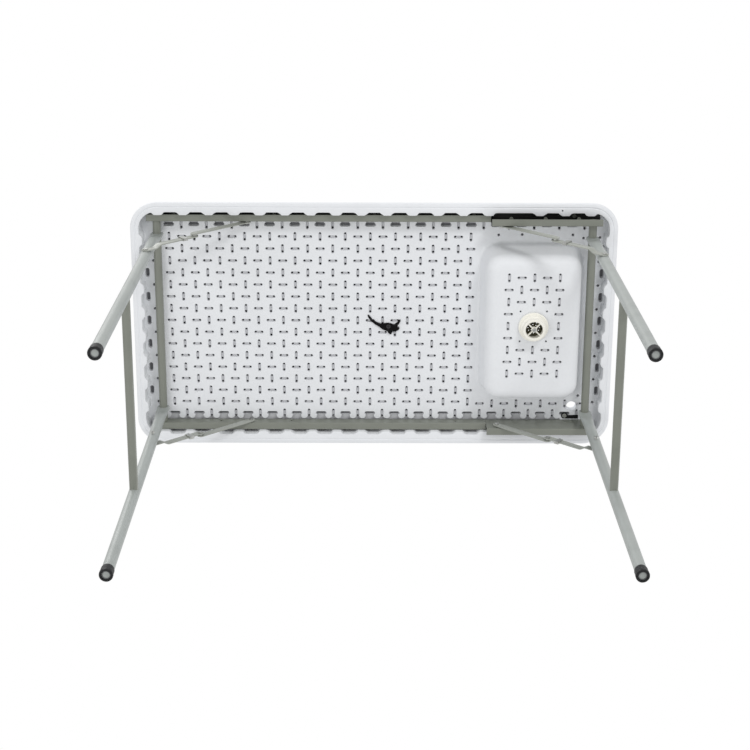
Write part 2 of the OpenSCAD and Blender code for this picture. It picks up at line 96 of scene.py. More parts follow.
def combined(shells: Sequence[Shell]) -> Shell:
    """Lays shells side by side in one: points are stacked and face numbers shifted.

    Args:
        shells: The shells, which don't touch each other.

    Returns:
        One shell that holds them all.
    """
    starts = np.concatenate([[0], np.cumsum([len(s.points) for s in shells])])
    faces = tuple(f + start for s, start in zip(shells, starts) for f in s.faces)
    return Shell(np.concatenate([s.points for s in shells]), faces)


def lofted(rings: np.ndarray) -> Shell:
    """Skins a stack of closed rings and closes both ends with one flat face each.

    Ring r and ring r + 1 are joined by quads (r, n), (r, n + 1), (r + 1, n + 1), (r + 1, n).

    Args:
        rings: Array of shape (rings, points, 3), anticlockwise when seen from the last ring.

    Returns:
        The closed shell.
    """
    count, around = rings.shape[:2]
    low = np.arange(around)
    high = np.roll(low, -1)
    start = np.arange(count - 1)[:, None] * around
    quads = np.stack([start + low, start + high, start + around + high, start + around + low], axis=-1)
    last = (count - 1) * around + low
    return Shell(rings.reshape(-1, 3), (quads.reshape(-1, 4), low[::-1][None], last[None]))


def turned(profile: Sequence[Pair], sides: int = 48) -> Shell:
    """Turns a closed profile about Z: point (r, z) goes to (r cos a, r sin a, z).

    Args:
        profile: Points (radius, height) anticlockwise in the r-z plane, all with radius above 0.
        sides: Number of steps round the axis.

    Returns:
        A closed ring-shaped shell.
    """
    shape = np.array(profile, float)
    angle = np.linspace(0, 2 * np.pi, sides, endpoint=False)
    radius, height = shape.T
    x, y = np.outer(np.cos(angle), radius), np.outer(np.sin(angle), radius)
    points = np.stack([x, y, np.tile(height, (sides, 1))], axis=-1)
    count = len(shape)
    a, p = np.meshgrid(np.arange(sides), np.arange(count), indexing="ij")
    b, q = (a + 1) % sides, (p + 1) % count
    quads = np.stack([a * count + p, b * count + p, b * count + q, a * count + q], axis=-1)
    return Shell(points.reshape(-1, 3), (quads.reshape(-1, 4),))


def spun(profile: Sequence[Pair], sides: int = 32) -> Shell:
    """Turns an open profile about Z into a solid with flat ends. Each point gives one ring.

    Args:
        profile: Points (radius, height), from the low end to the high one.
        sides: Number of steps round the axis.

    Returns:
        The closed solid.
    """
    shape = np.array(profile, float)
    angle = np.linspace(0, 2 * np.pi, sides, endpoint=False)
    radius, height = shape.T
    x, y = np.outer(radius, np.cos(angle)), np.outer(radius, np.sin(angle))
    return lofted(np.stack([x, y, np.repeat(height[:, None], sides, 1)], axis=-1))


@dataclass(frozen=True)
class Outline:
    """Rounded rectangle in plan, drawn as equal steps along its sides and round its corners."""

    half_l: float
    half_w: float
    radius: float
    centre: Pair = (0.0, 0.0)
    steps: tuple[int, int, int] = (200, 96, 24)

    def shrunk(self, inset: float, radius: float | None = None) -> "Outline":
        """The outline moved inwards by inset, with its own corner radius if one is given."""
        new_r = max(self.radius - inset, 1.0) if radius is None else radius
        return Outline(self.half_l - inset, self.half_w - inset, new_r, self.centre, self.steps)

    def points(self) -> tuple[np.ndarray, np.ndarray]:
        """Walks round the outline: each corner is a quarter circle, each side is the line to the next corner.

        Returns:
            Points (n, 2), anticlockwise, and the outward unit direction at each.
        """
        along_x, along_y, corner = self.steps
        parts, normals = [], []
        for k, sides in enumerate((along_x, along_y, along_x, along_y)):
            angle = np.linspace(k * 90, k * 90 + 90, corner) * np.pi / 180
            sx, sy = ((1, 1), (-1, 1), (-1, -1), (1, -1))[k]
            mid = np.array([sx * (self.half_l - self.radius), sy * (self.half_w - self.radius)])
            out = np.stack([np.cos(angle), np.sin(angle)], axis=-1)
            arc = mid + self.radius * out
            tx, ty = ((-1, 1), (-1, -1), (1, -1), (1, 1))[k]
            next_mid = np.array([tx * (self.half_l - self.radius), ty * (self.half_w - self.radius)])
            target = next_mid + self.radius * out[-1]
            share = np.linspace(0, 1, sides + 2)[1:-1, None]
            parts += [arc, arc[-1] + share * (target - arc[-1])]
            normals += [out, np.repeat(out[-1:], sides, axis=0)]
        return np.concatenate(parts) + np.array(self.centre), np.concatenate(normals)

    def ring(self, z: float, pull: Pull | None = None) -> np.ndarray:
        """One ring at height z.

        Args:
            z: Height of the ring.
            pull: Takes points and directions, and gives how far each point is pulled inwards.

        Returns:
            Array (n, 3).
        """
        flat, out = self.points()
        if pull is not None:
            flat = flat - out * pull(flat, out)[:, None]
        return np.column_stack([flat, np.full(len(flat), z)])


def smooth_step(t: np.ndarray) -> np.ndarray:
    """0 below 0, 1 above 1, and 3 t^2 - 2 t^3 between."""
    t = np.clip(t, 0, 1)
    return t * t * (3 - 2 * t)


def prism(outline: np.ndarray, z0: float, z1: float) -> Shell:
    """Raises a flat outline (n, 2), anticlockwise, from z0 to z1."""
    return lofted(np.stack([np.column_stack([outline, np.full(len(outline), z)]) for z in (z0, z1)]))


def capsule(length: float, width: float, around: int = 12) -> np.ndarray:
    """Outline (n, 2) of a slot along X: two half circles of the slot's width, joined by straight sides.

    Args:
        length: Full length.
        width: Width.
        around: Number of points.

    Returns:
        The outline, anticlockwise.
    """
    half = np.linspace(-90, 90, around // 2) * np.pi / 180
    right = np.stack([np.cos(half), np.sin(half)], axis=-1) * width / 2 + [length / 2 - width / 2, 0]
    return np.concatenate([right, -right])


# ---- meshes and pieces -----------------------------------------------------------------


def mesh_object(name: str, shell: Shell, smooth_below: float = 35.0) -> bpy.types.Object:
    """Puts a shell into a new object at the origin, in metres.

    Args:
        name: Name of the object and its mesh.
        shell: The surface in millimetres.
        smooth_below: Edges that turn less than this many degrees are shaded smooth.

    Returns:
        The linked object.
    """
    mesh = bpy.data.meshes.new(name)
    loops = np.concatenate([f.ravel() for f in shell.faces])
    sizes = np.concatenate([np.full(len(f), f.shape[1]) for f in shell.faces])
    mesh.vertices.add(len(shell.points))
    mesh.vertices.foreach_set("co", (shell.points * MM).astype(np.float32).ravel())
    mesh.loops.add(len(loops))
    mesh.loops.foreach_set("vertex_index", loops.astype(np.int32))
    mesh.polygons.add(len(sizes))
    mesh.polygons.foreach_set("loop_start", np.concatenate([[0], np.cumsum(sizes)[:-1]]).astype(np.int32))
    mesh.update(calc_edges=True)
    obj = bpy.data.objects.new(name, mesh)
    bpy.context.scene.collection.objects.link(obj)
    shade(obj, smooth_below)
    return obj


def shade(obj: bpy.types.Object, smooth_below: float) -> None:
    """Shades an object smooth, with sharp edges where it turns by more than smooth_below degrees."""
    obj.data.polygons.foreach_set("use_smooth", np.ones(len(obj.data.polygons), bool))
    obj.data.set_sharp_from_angle(angle=math.radians(smooth_below))


def per_face(obj: bpy.types.Object, what: str) -> np.ndarray:
    """Reads one value of three numbers from each face.

    Args:
        obj: The object.
        what: The value's name, such as normal or center.

    Returns:
        Array (faces, 3).
    """
    values = np.zeros(len(obj.data.polygons) * 3, np.float32)
    obj.data.polygons.foreach_get(what, values)
    return values.reshape(-1, 3)


def assign(obj: bpy.types.Object, slots: np.ndarray) -> None:
    """Gives each face the material slot of its number."""
    obj.data.polygons.foreach_set("material_index", slots.astype(np.int32))


def cut(obj: bpy.types.Object, tool: Shell, operation: str = "DIFFERENCE") -> None:
    """Joins or cuts an object with a closed shell, and keeps the result as its mesh.

    Args:
        obj: The piece that changes.
        tool: The closed shell that is added or taken away.
        operation: DIFFERENCE or UNION.
    """
    other = mesh_object(obj.name + "_tool", tool)
    change = obj.modifiers.new("cut", "BOOLEAN")
    change.operation, change.solver, change.object = operation, "MANIFOLD", other
    graph = bpy.context.evaluated_depsgraph_get()
    old = obj.data
    obj.data = bpy.data.meshes.new_from_object(obj.evaluated_get(graph))
    obj.modifiers.clear()
    bpy.data.meshes.remove(old)
    spent = other.data
    bpy.data.objects.remove(other)
    bpy.data.meshes.remove(spent)


def dress(obj: bpy.types.Object, *finishes: "Finish") -> None:
    """Gives an object one material slot for each finish, in order.

    Args:
        obj: The object.
        finishes: The finishes.
    """
    obj.data.materials.clear()
    for finish in finishes:
        obj.data.materials.append(finish.material())


def keep(obj: bpy.types.Object, body: str, slot: str, finish: "Finish", *nodes: str) -> bpy.types.Object:
    """Finishes a piece: dresses it, lets it ride on its body and hides the nodes it stands for.

    Args:
        obj: The new piece.
        body: The body it rides on.
        slot: The record's material slot; not used.
        finish: Its finish.
        nodes: The nodes that it replaces.

    Returns:
        The piece.
    """
    if not any(obj.data.materials):
        dress(obj, finish)
    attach(obj, body)
    if nodes:
        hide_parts(*nodes)
    log.info("%s: %d faces on %s", obj.name, len(obj.data.polygons), body)
    return obj


# ---- shader graphs ---------------------------------------------------------------------


class Number:
    """A number on a shader socket. Arithmetic on it adds Math nodes."""

    def __init__(self, graph: "Graph", socket: bpy.types.NodeSocket) -> None:
        """Keeps the graph and the socket that carries the number."""
        self.graph, self.socket = graph, socket

    def _with(self, operation: str, other: "Number | float", swapped: bool = False) -> "Number":
        """Adds one Math node on this number and another, in the other order if swapped."""
        pair = (other, self) if swapped else (self, other)
        return self.graph.number("ShaderNodeMath", {"operation": operation}, {0: pair[0], 1: pair[1]})

    def __add__(self, other: "Number | float") -> "Number":
        """This number plus another."""
        return self._with("ADD", other)

    def __sub__(self, other: "Number | float") -> "Number":
        """This number less another."""
        return self._with("SUBTRACT", other)

    def __rsub__(self, other: "Number | float") -> "Number":
        """Another number less this one."""
        return self._with("SUBTRACT", other, True)

    def __mul__(self, other: "Number | float") -> "Number":
        """This number times another."""
        return self._with("MULTIPLY", other)

    def __pow__(self, other: "Number | float") -> "Number":
        """This number to a power."""
        return self._with("POWER", other)

    __radd__, __rmul__ = __add__, __mul__

    def between(self, low: float, high: float) -> "Number":
        """0 at low, 1 at high, smooth between them and flat outside.

        Args:
            low: Where it leaves 0.
            high: Where it reaches 1.

        Returns:
            The number.
        """
        settings = {"interpolation_type": "SMOOTHSTEP"}
        sockets = {"Value": self, "From Min": low, "From Max": high}
        return self.graph.number("ShaderNodeMapRange", settings, sockets)


def add_node(
    tree: bpy.types.NodeTree,
    kind: str,
    settings: Settings,
    sockets: Sockets,
) -> bpy.types.Node:
    """Adds one node to a tree.

    Args:
        tree: The material's or the surround's node tree.
        kind: The node's type.
        settings: Its properties, which are set first.
        sockets: Its inputs by name or number: a value, a socket or a Number.

    Returns:
        The node.
    """
    made = tree.nodes.new(kind)
    for key, value in settings.items():
        setattr(made, key, value)
    for key, value in sockets.items():
        source = value.socket if isinstance(value, Number) else value
        if isinstance(source, bpy.types.NodeSocket):
            tree.links.new(source, made.inputs[key])
        else:
            made.inputs[key].default_value = source
    return made


class Graph:
    """The nodes of one material."""

    def __init__(self, name: str) -> None:
        """Starts an empty material with an output and a principled shader.

        Args:
            name: The material's name.
        """
        self.material = bpy.data.materials.new(name)
        self.material.use_nodes = True
        self.tree = self.material.node_tree
        self.tree.nodes.clear()
        self.shader = self.node("ShaderNodeBsdfPrincipled", {}, {})
        self.node("ShaderNodeOutputMaterial", {}, {"Surface": self.shader.outputs["BSDF"]})

    def node(self, kind: str, settings: Settings, sockets: Sockets) -> bpy.types.Node:
        """Adds one node to the material, as add_node does."""
        return add_node(self.tree, kind, settings, sockets)

    def number(self, kind: str, settings: Settings, sockets: Sockets) -> Number:
        """Adds one node and gives its first output as a Number."""
        return Number(self, self.node(kind, settings, sockets).outputs[0])

    def place(self) -> bpy.types.NodeSocket:
        """The point's place on the piece, in metres."""
        return self.node("ShaderNodeTexCoord", {}, {}).outputs["Object"]

    def noise(self, size_mm: float, detail: float = 3.0, stretch: Triple = (1, 1, 1)) -> Number:
        """Lumpy noise over the piece.

        Args:
            size_mm: Size of one lump.
            detail: Number of finer layers.
            stretch: Factor along each axis. One below 1 draws the lumps out.

        Returns:
            The noise.
        """
        where = self.node("ShaderNodeMapping", {}, {"Vector": self.place(), "Scale": stretch}).outputs[0]
        sockets = {"Vector": where, "Scale": 1000 / size_mm, "Detail": detail}
        return self.number("ShaderNodeTexNoise", {}, sockets)

    def blend(self, factor: Number, first: object, second: object) -> bpy.types.NodeSocket:
        """A colour that goes from first at 0 to second at 1."""
        made = self.node("ShaderNodeMix", {"data_type": "RGBA"}, {0: factor, 6: first, 7: second})
        return made.outputs[2]

    def put(self, **sockets: object) -> None:
        """Sets or links inputs of the principled shader; an underscore in a name stands for a space.

        Args:
            sockets: A value, a socket or a Number for each input.
        """
        for key, value in sockets.items():
            target = self.shader.inputs[key.replace("_", " ")]
            source = value.socket if isinstance(value, Number) else value
            if isinstance(source, bpy.types.NodeSocket):
                self.tree.links.new(source, target)
            else:
                target.default_value = source

    def bump(self, height: Number, depth_mm: float, strength: float = 1.0) -> None:
        """Raises the surface by height times depth_mm."""
        sockets = {"Height": height, "Distance": depth_mm * MM, "Strength": strength}
        self.put(Normal=self.node("ShaderNodeBump", {}, sockets).outputs[0])


def paint(red: int, green: int, blue: int) -> Quad:
    """Turns a display colour into a shader's linear one: c / 12.92, or ((c + 0.055) / 1.055)^2.4.

    Args:
        red: Red, 0 to 255.
        green: Green.
        blue: Blue.

    Returns:
        Linear red, green and blue, and 1 for alpha.
    """
    shares = [v / 255 for v in (red, green, blue)]
    r, g, b = (v / 12.92 if v < 0.04 else ((v + 0.055) / 1.055) ** 2.4 for v in shares)
    return (r, g, b, 1.0)


@dataclass(frozen=True)
class Finish:
    """A surface finish with one main colour."""

    name: str
    colour: Triple
    roughness: float

    def build(self, graph: Graph) -> None:
        """Adds this finish's nodes to a graph that has its shader."""
        raise NotImplementedError

    def material(self) -> bpy.types.Material:
        """The finish's material, made at its first use.

        Returns:
            The material.
        """
        known = bpy.data.materials.get(self.name)
        if known is None:
            graph = Graph(self.name)
            self.build(graph)
            known = graph.material
        return known

    def shaded(self, share: float) -> Quad:
        """The main colour, darker or lighter by a share."""
        r, g, b = (min(255, c * share) for c in self.colour)
        return paint(r, g, b)


@dataclass(frozen=True)
class MouldedPlastic(Finish):
    """Blow-moulded polyethylene: satin, with cloudy flow marks and a fine or pebbled grain."""

    grain_mm: float = 1.2
    grain_depth: float = 0.02
    clouding: float = 0.012

    def build(self, graph: Graph) -> None:
        """Clouding moves the colour a little, and two sizes of lumps make the grain.

        Args:
            graph: The material's graph, with its shader.
        """
        cloud = graph.noise(90, 4).between(0.3, 0.7)
        speck = graph.noise(7, 2).between(0.35, 0.65)
        mixed = cloud * 0.7 + speck * 0.3
        dark, light = self.shaded(1 - self.clouding), self.shaded(1 + self.clouding * 0.5)
        graph.put(
            Base_Color=graph.blend(mixed, dark, light),
            Roughness=self.roughness + (speck - 0.5) * 0.08,
            IOR=1.5,
            Specular_IOR_Level=0.35,
        )
        grain = graph.noise(self.grain_mm, 2) * 0.7 + graph.noise(self.grain_mm * 4, 2) * 0.3
        graph.bump(grain, self.grain_depth)


@dataclass(frozen=True)
class PowderCoat(Finish):
    """Powder-coated steel: even colour, orange-peel skin and faint dull patches from handling."""

    peel_mm: float = 2.4
    dulling: float = 0.06

    def build(self, graph: Graph) -> None:
        """Large soft patches dull the coat, and two sizes of ripples make its skin.

        Args:
            graph: The material's graph, with its shader.
        """
        patch = graph.noise(60, 5).between(0.4, 0.75)
        fleck = graph.noise(1.3, 2).between(0.55, 0.8)
        clean, dull = self.shaded(1.01), self.shaded(1 - self.dulling)
        graph.put(
            Base_Color=graph.blend(patch * 0.6 + fleck * 0.4, clean, dull),
            Roughness=self.roughness + patch * 0.1,
            Specular_IOR_Level=0.5,
            Coat_Weight=0.12,
            Coat_Roughness=0.25,
        )
        graph.bump(graph.noise(self.peel_mm, 2) * 0.7 + graph.noise(self.peel_mm / 3, 1) * 0.3, 0.03)


@dataclass(frozen=True)
class ZincPlate(Finish):
    """Bright zinc on small steel parts, with fine drawn lines and cloudy passivation."""

    def build(self, graph: Graph) -> None:
        """Clouds change the roughness, and long thin lumps make the drawn lines.

        Args:
            graph: The material's graph, with its shader.
        """
        cloud = graph.noise(4, 3).between(0.3, 0.7)
        graph.put(
            Base_Color=graph.blend(cloud, self.shaded(1.0), self.shaded(0.86)),
            Metallic=1.0,
            Roughness=self.roughness + cloud * 0.15,
        )
        graph.bump(graph.noise(0.5, 1, (1, 1, 0.08)), 0.01)


@dataclass(frozen=True)
class DarkMoulding(Finish):
    """Black or dark grey moulded rubber and plastic, with a matt grain and paler rubbed spots."""

    grain_mm: float = 0.9
    rubbed: float = 1.5
    gloss: float = 0.22

    def build(self, graph: Graph) -> None:
        """Rubbed spots are paler and smoother, and a fine noise makes the grain.

        Args:
            graph: The material's graph, with its shader.
        """
        rub = graph.noise(9, 4).between(0.55, 0.75)
        graph.put(
            Base_Color=graph.blend(rub * 0.5, self.shaded(1.0), self.shaded(self.rubbed)),
            Roughness=self.roughness - rub * 0.1,
            Specular_IOR_Level=self.gloss,
        )
        graph.bump(graph.noise(self.grain_mm, 2), 0.03)


# The insides of recesses and rails take darker finishes than their piece, which stand in for deep shade.
UNDERSIDE = MouldedPlastic("top_underside_moulding", (235, 237, 240), 0.5)
DIMPLE_SHADE = MouldedPlastic("dimple_painted_shade", (212, 213, 216), 0.6)
DEEP_SHADE = MouldedPlastic("pit_painted_shade", (112, 113, 116), 0.7)
GAP_SHADE = MouldedPlastic("gap_above_rail_painted_shade", (40, 40, 41), 0.8)
WORK_FACE = MouldedPlastic("top_pebbled_face", (236, 238, 241), 0.48, grain_mm=2.6, grain_depth=0.09)
DRAIN_PLASTIC = MouldedPlastic("drain_warm_white", (247, 245, 236), 0.32, grain_mm=3, grain_depth=0.01)
FRAME_STEEL = PowderCoat("frame_grey_coat", (128, 131, 122), 0.42)
LEG_COAT = PowderCoat("leg_silver_coat", (164, 169, 166), 0.36)
LINK_COAT = PowderCoat("link_silver_coat", (160, 163, 156), 0.34)
RAIL_PAINTED_SHADE = PowderCoat("rail_inside_painted_shade", (34, 34, 32), 0.6)
ZINC = ZincPlate("zinc_plate", (205, 206, 202), 0.28)
RUBBER = DarkMoulding("black_rubber", (24, 24, 25), 0.5)
STRAP_RUBBER = DarkMoulding("strap_rubber", (8, 8, 9), 0.24, rubbed=1.5, gloss=0.12)
STRAINER_PLASTIC = DarkMoulding("strainer_olive", (62, 60, 42), 0.4)
BLACK_OXIDE = ZincPlate("black_oxide", (74, 74, 76), 0.3)
FOOT_PLASTIC = DarkMoulding("foot_cap_plastic", (34, 35, 36), 0.45)
FOOT_CORE = DarkMoulding("foot_cap_core", (92, 93, 95), 0.4)


# ---- studio ----------------------------------------------------------------------------


class Background(Enum):
    """What the camera sees round the object."""

    WHITE = (1.0, 1.0, 1.0, 1.0)
    PALE_FLOOR = (0.80, 0.81, 0.82, 1.0)


@dataclass
class Studio:
    """Camera below the floor, an even white surround, soft lamps and a floor seen only from above."""

    camera_place: Triple = (-0.0167, -1.3752, -3.2677)
    camera_turn: Triple = (160.073, 0.193, -0.223)
    lens: float = 87.96
    surround: float = 0.72
    floor_reach: float = 40.0
    aim: Triple = (0.0, 0.0, 0.7)
    lamps: dict[str, tuple[Triple, float, float]] = field(
        default_factory=lambda: {
            "window_lamp": ((-1.8, -2.2, 3.0), 2.2, 45.0),
            "fill_lamp": ((2.4, 1.6, 2.2), 1.8, 18.0),
            "low_key_lamp": ((1.5, -3.0, -1.5), 0.8, 36.0),
            "low_fill_lamp": ((-2.4, -0.4, -2.6), 1.6, 22.0),
        }
    )

    def build(self) -> None:
        """Makes the camera first, then the surround, the lamps and the floor."""
        self.camera()
        self.world()
        for name, (place, size, power) in self.lamps.items():
            self.lamp(name, place, size, power)
        self.floor()
        bpy.context.scene.view_settings.view_transform = "Standard"

    def camera(self) -> None:
        """A long lens that looks up at the underside from below the near edge."""
        data = bpy.data.cameras.new("camera")
        data.lens, data.sensor_width, data.clip_end = self.lens, 36.0, 100.0
        obj = bpy.data.objects.new("camera", data)
        obj.location = self.camera_place
        obj.rotation_euler = Euler([math.radians(a) for a in self.camera_turn], "XYZ")
        bpy.context.scene.collection.objects.link(obj)
        bpy.context.scene.camera = obj

    def world(self) -> None:
        """White where the camera sees it, and a dimmer soft light of the same colour on the object."""
        world = bpy.data.worlds.new("surround")
        world.use_nodes = True
        tree = world.node_tree
        back = tree.nodes["Background"]
        back.inputs["Color"].default_value = Background.WHITE.value
        seen = add_node(tree, "ShaderNodeLightPath", {}, {}).outputs["Is Camera Ray"]
        level = add_node(tree, "ShaderNodeMapRange", {}, {"Value": seen, "To Min": self.surround})
        tree.links.new(level.outputs[0], back.inputs["Strength"])
        bpy.context.scene.world = world

    def lamp(self, name: str, place: Triple, size: float, power: float) -> None:
        """Adds a square soft lamp that is aimed at the table.

        Args:
            name: The lamp's name.
            place: Where it stands.
            size: Length of its sides in metres.
            power: Power in watts.
        """
        data = bpy.data.lights.new(name, "AREA")
        data.shape, data.size, data.energy = "SQUARE", size, power
        obj = bpy.data.objects.new(name, data)
        obj.location = place
        towards = Vector(self.aim) - Vector(place)
        obj.rotation_euler = towards.to_track_quat("-Z", "Y").to_euler()
        bpy.context.scene.collection.objects.link(obj)

    def floor(self) -> None:
        """A pale floor at height 0 that is clear from below, so that the table shows through it."""
        graph = Graph("pale_floor")
        graph.put(Base_Color=Background.PALE_FLOOR.value, Roughness=0.7)
        side = graph.node("ShaderNodeNewGeometry", {}, {}).outputs["Backfacing"]
        clear = graph.node("ShaderNodeBsdfTransparent", {}, {}).outputs[0]
        sockets = {0: side, 1: graph.shader.outputs["BSDF"], 2: clear}
        mixed = graph.node("ShaderNodeMixShader", {}, sockets).outputs[0]
        graph.node("ShaderNodeOutputMaterial", {"is_active_output": True}, {"Surface": mixed})
        mesh = bpy.data.meshes.new("floor")
        reach = self.floor_reach
        corners = [(-reach, -reach, 0), (reach, -reach, 0), (reach, reach, 0), (-reach, reach, 0)]
        mesh.from_pydata(corners, [], [(0, 1, 2, 3)])
        mesh.materials.append(graph.material)
        obj = bpy.data.objects.new("floor", mesh)
        obj.visible_shadow = obj.visible_diffuse = obj.visible_glossy = False
        bpy.context.scene.collection.objects.link(obj)


# ---- table top -------------------------------------------------------------------------


@dataclass
class TableTop:
    """The blow-moulded top: rounded shoulder, skirt with teeth, dimpled underside and basin."""

    half_l: float = 570.0
    half_w: float = 301.0
    corner_r: float = 64.0
    top_z: float = 932.0
    under_z: float = UNDER_Z
    lip_z: float = 867.0
    shoulder_r: float = 22.0
    draft: float = 12.0
    inner: Outline = Outline(550.0, 277.0, 40.0)
    tooth_depth: float = 7.0
    tooth_tip: float = 8.5
    tooth_base: float = 16.0
    bare_x: float = 326.7
    basin_centre: Pair = (374.0, -6.0)
    basin_half: Pair = (121.0, 188.0)
    basin_r: float = 46.0
    basin_bottom: float = BASIN_BOTTOM_Z
    basin_draft: float = 9.0
    basin_edge: float = 30.0
    basin_wall: float = 2.6
    basin_floor: float = BASIN_FLOOR_T
    drain: Pair = DRAIN_CENTRE
    drain_r: float = 23.0
    faucet: Pair = (482.0, 218.0)
    faucet_r: float = 12.0
    vent: Pair = (438.0, -283.0)
    column_shift: float = 16.3
    dash: Pair = (21.4, 5.9)
    dash_depth: float = 5.5
    groove_depth: float = 8.0
    scallop_end: float = 455.0
    pit_r: float = 2.6
    pit_depth: float = 17.0
    low_dashes: Pair = (374.7, -14.9)
    edge_dash: Pair = (25.0, 8.0)
    end_mark: Pair = (22.0, 9.0)
    mark_x: Pair = (-538.0, 541.0)
    dot_x: Pair = (-523.0, 533.0)
    dot_r: float = 3.4
    vent_r: float = 2.4
    basin_dots: tuple[Pair, ...] = (
        (294.0, -213.5),
        (349.4, -214.6),
        (468.9, -214.0),
        (494.4, -206.2),
        (497.0, 190.9),
    )
    drain_dots: Pair = (31.0, 37.0)
    lobe: Triple = (11.5, 8.5, 242.5)
    notch: Triple = (3.4, 246.5, 238.8)
    groove_y: Pair = (253.0, 257.0)
    gap_y: float = 275.0
    gap_depth: float = 13.0
    panel_half: Pair = (547.0, 276.0)
    panel_corner: Triple = (506.0, 237.0, 40.0)
    tub_floor: Triple = (75.0, 140.0, 9.0)
    inside_from: float = 1.2
    deep_from: Pair = (8.9, 4.3)
    roof_below: Pair = (19.0, 8.6)
    gap_from_y: float = 256.5

    def teeth(self, flat: np.ndarray, out: np.ndarray) -> np.ndarray:
        """How far the skirt's inner wall stands in at each point.

        With d the distance to the nearest odd multiple of the pitch along the side, the wall stands in by
        the tooth depth where d is below the tip's half width, by nothing past the root's, and smoothly between.

        Args:
            flat: Points (n, 2).
            out: Outward directions (n, 2).

        Returns:
            The pull (n,) in millimetres.
        """
        on_side = np.abs(out[:, 1]) > 0.93
        on_end = np.abs(out[:, 0]) > 0.995
        along = np.where(on_side, flat[:, 0], flat[:, 1])
        gap = np.abs(np.mod(along / PITCH, 2) - 1) * PITCH
        wave = 1 - smooth_step((gap - self.tooth_tip) / (self.tooth_base - self.tooth_tip))
        wave = wave * ~((np.abs(flat[:, 0] - self.bare_x) < PITCH) & (flat[:, 1] < 0) & on_side)
        return self.tooth_depth * wave * (on_side | on_end)

    def body(self) -> Shell:
        """Stacks rounded outlines from the work face down the skirt, round the lip and back up.

        The shoulder is a quarter circle, the skirt leans in by the draft, the lip's bottom has a bead, a
        shallow groove and an inner band, and the inner wall with its teeth rises to the flat underside.

        Returns:
            The closed body.
        """
        outer = Outline(self.half_l, self.half_w, self.corner_r)
        reach = self.draft + self.shoulder_r
        turn = np.linspace(0, 90, 9) * np.pi / 180
        r = self.shoulder_r
        steps = [(reach - r * math.sin(a), self.top_z - r * (1 - math.cos(a))) for a in turn]
        lip = self.lip_z
        steps += [(7.0, lip + 26), (2.0, lip + 11), (0.6, lip + 7.5), (0.0, lip + 5), (0.4, lip + 2.4)]
        steps += [(1.8, lip + 0.7), (4.2, lip), (9.4, lip)]
        steps += [(10.4, lip + 1.3), (12.0, lip + 1.3), (13.0, lip + 0.4)]
        rings = [outer.shrunk(i, self.corner_r - i + (8 if i > 20 else 0)).ring(z) for i, z in steps]
        wall = [(-1.6, lip + 0.4), (-0.4, lip + 0.9), (0.0, lip + 2.2), (0.8, self.under_z - 3.5)]
        wall += [(1.4, self.under_z - 1.4), (3.6, self.under_z)]
        rings += [self.inner.shrunk(i).ring(z, self.teeth) for i, z in wall]
        return lofted(np.stack(rings)[::-1])

    def basin_ring(self, inset: float, z: float) -> np.ndarray:
        """One ring of the basin, shrunk by inset, whose corners tighten as it shrinks.

        Args:
            inset: How far the ring lies inside the basin's outline.
            z: Height of the ring.

        Returns:
            Array (n, 3).
        """
        steps = (20, 30, 14)
        shape = Outline(*self.basin_half, self.basin_r, self.basin_centre, steps)
        return shape.shrunk(inset, max(self.basin_r - 0.92 * inset, 6.0)).ring(z)

    def basin_outside(self) -> Shell:
        """The tub from below: a small flare into the underside, leaning walls and a round bottom edge.

        Returns:
            The closed shell.
        """
        turn = np.linspace(0, 90, 6) * np.pi / 180
        rise = self.basin_bottom + self.basin_edge
        steps = [(-7.0, self.under_z + 3)]
        steps += [(-7 + 7 * math.sin(a), self.under_z - 7 * (1 - math.cos(a))) for a in turn]
        steps += [(self.basin_draft * 0.5, (self.under_z + rise) / 2)]
        edge = np.linspace(0, 90, 10) * np.pi / 180
        draft, r = self.basin_draft, self.basin_edge
        steps += [(draft + r * (1 - math.cos(a)), rise - r * math.sin(a)) for a in edge]
        return lofted(np.stack([self.basin_ring(i, z) for i, z in steps])[::-1])

    def basin_inside(self) -> Shell:
        """The space in the tub: a rolled rim at the work face, leaning walls and a round bottom edge.

        Returns:
            The cutter.
        """
        wall, roll, edge_r = self.basin_wall, 5.0, self.basin_edge - self.basin_wall - 4
        floor = self.basin_bottom + self.basin_floor
        turn = np.linspace(0, 90, 6) * np.pi / 180
        steps = [(wall - roll - 2, self.top_z + 4), (wall - roll - 0.6, self.top_z + 0.01)]
        steps += [(wall - roll + roll * math.sin(a), self.top_z - roll * (1 - math.cos(a))) for a in turn[1:]]
        edge = np.linspace(0, 90, 9) * np.pi / 180
        inset = wall + self.basin_draft
        steps += [(inset + edge_r * (1 - math.cos(a)), floor + edge_r * (1 - math.sin(a))) for a in edge]
        return lofted(np.stack([self.basin_ring(i, z) for i, z in steps])[::-1])

    def lattice(self) -> tuple[np.ndarray, np.ndarray]:
        """Centres of the dashes under the panel: even cells lie along the table and odd cells across it.

        Cell (i, j) is at ((i - shift) pitch, (j - 6) pitch). Cells under the basin are left out.

        Returns:
            Centres (n, 2), and True where a dash lies along the table.
        """
        i, j = (g.ravel() for g in np.meshgrid(np.arange(0, 34), np.arange(-2, 15), indexing="ij"))
        x, y = (i - self.column_shift) * PITCH, (j - 6) * PITCH
        basin = (np.abs(x - self.basin_centre[0]) < self.basin_half[0] + 15) & (j > -2) & (j < 13)
        right = (x > 495) & (j > -2) & (j < 13)
        y = np.where((j == 13) & (x > 255), y + 4.3, y)
        kept = ~(basin | right)
        return np.column_stack([x, y])[kept], ((i + j) % 2 == 0)[kept]

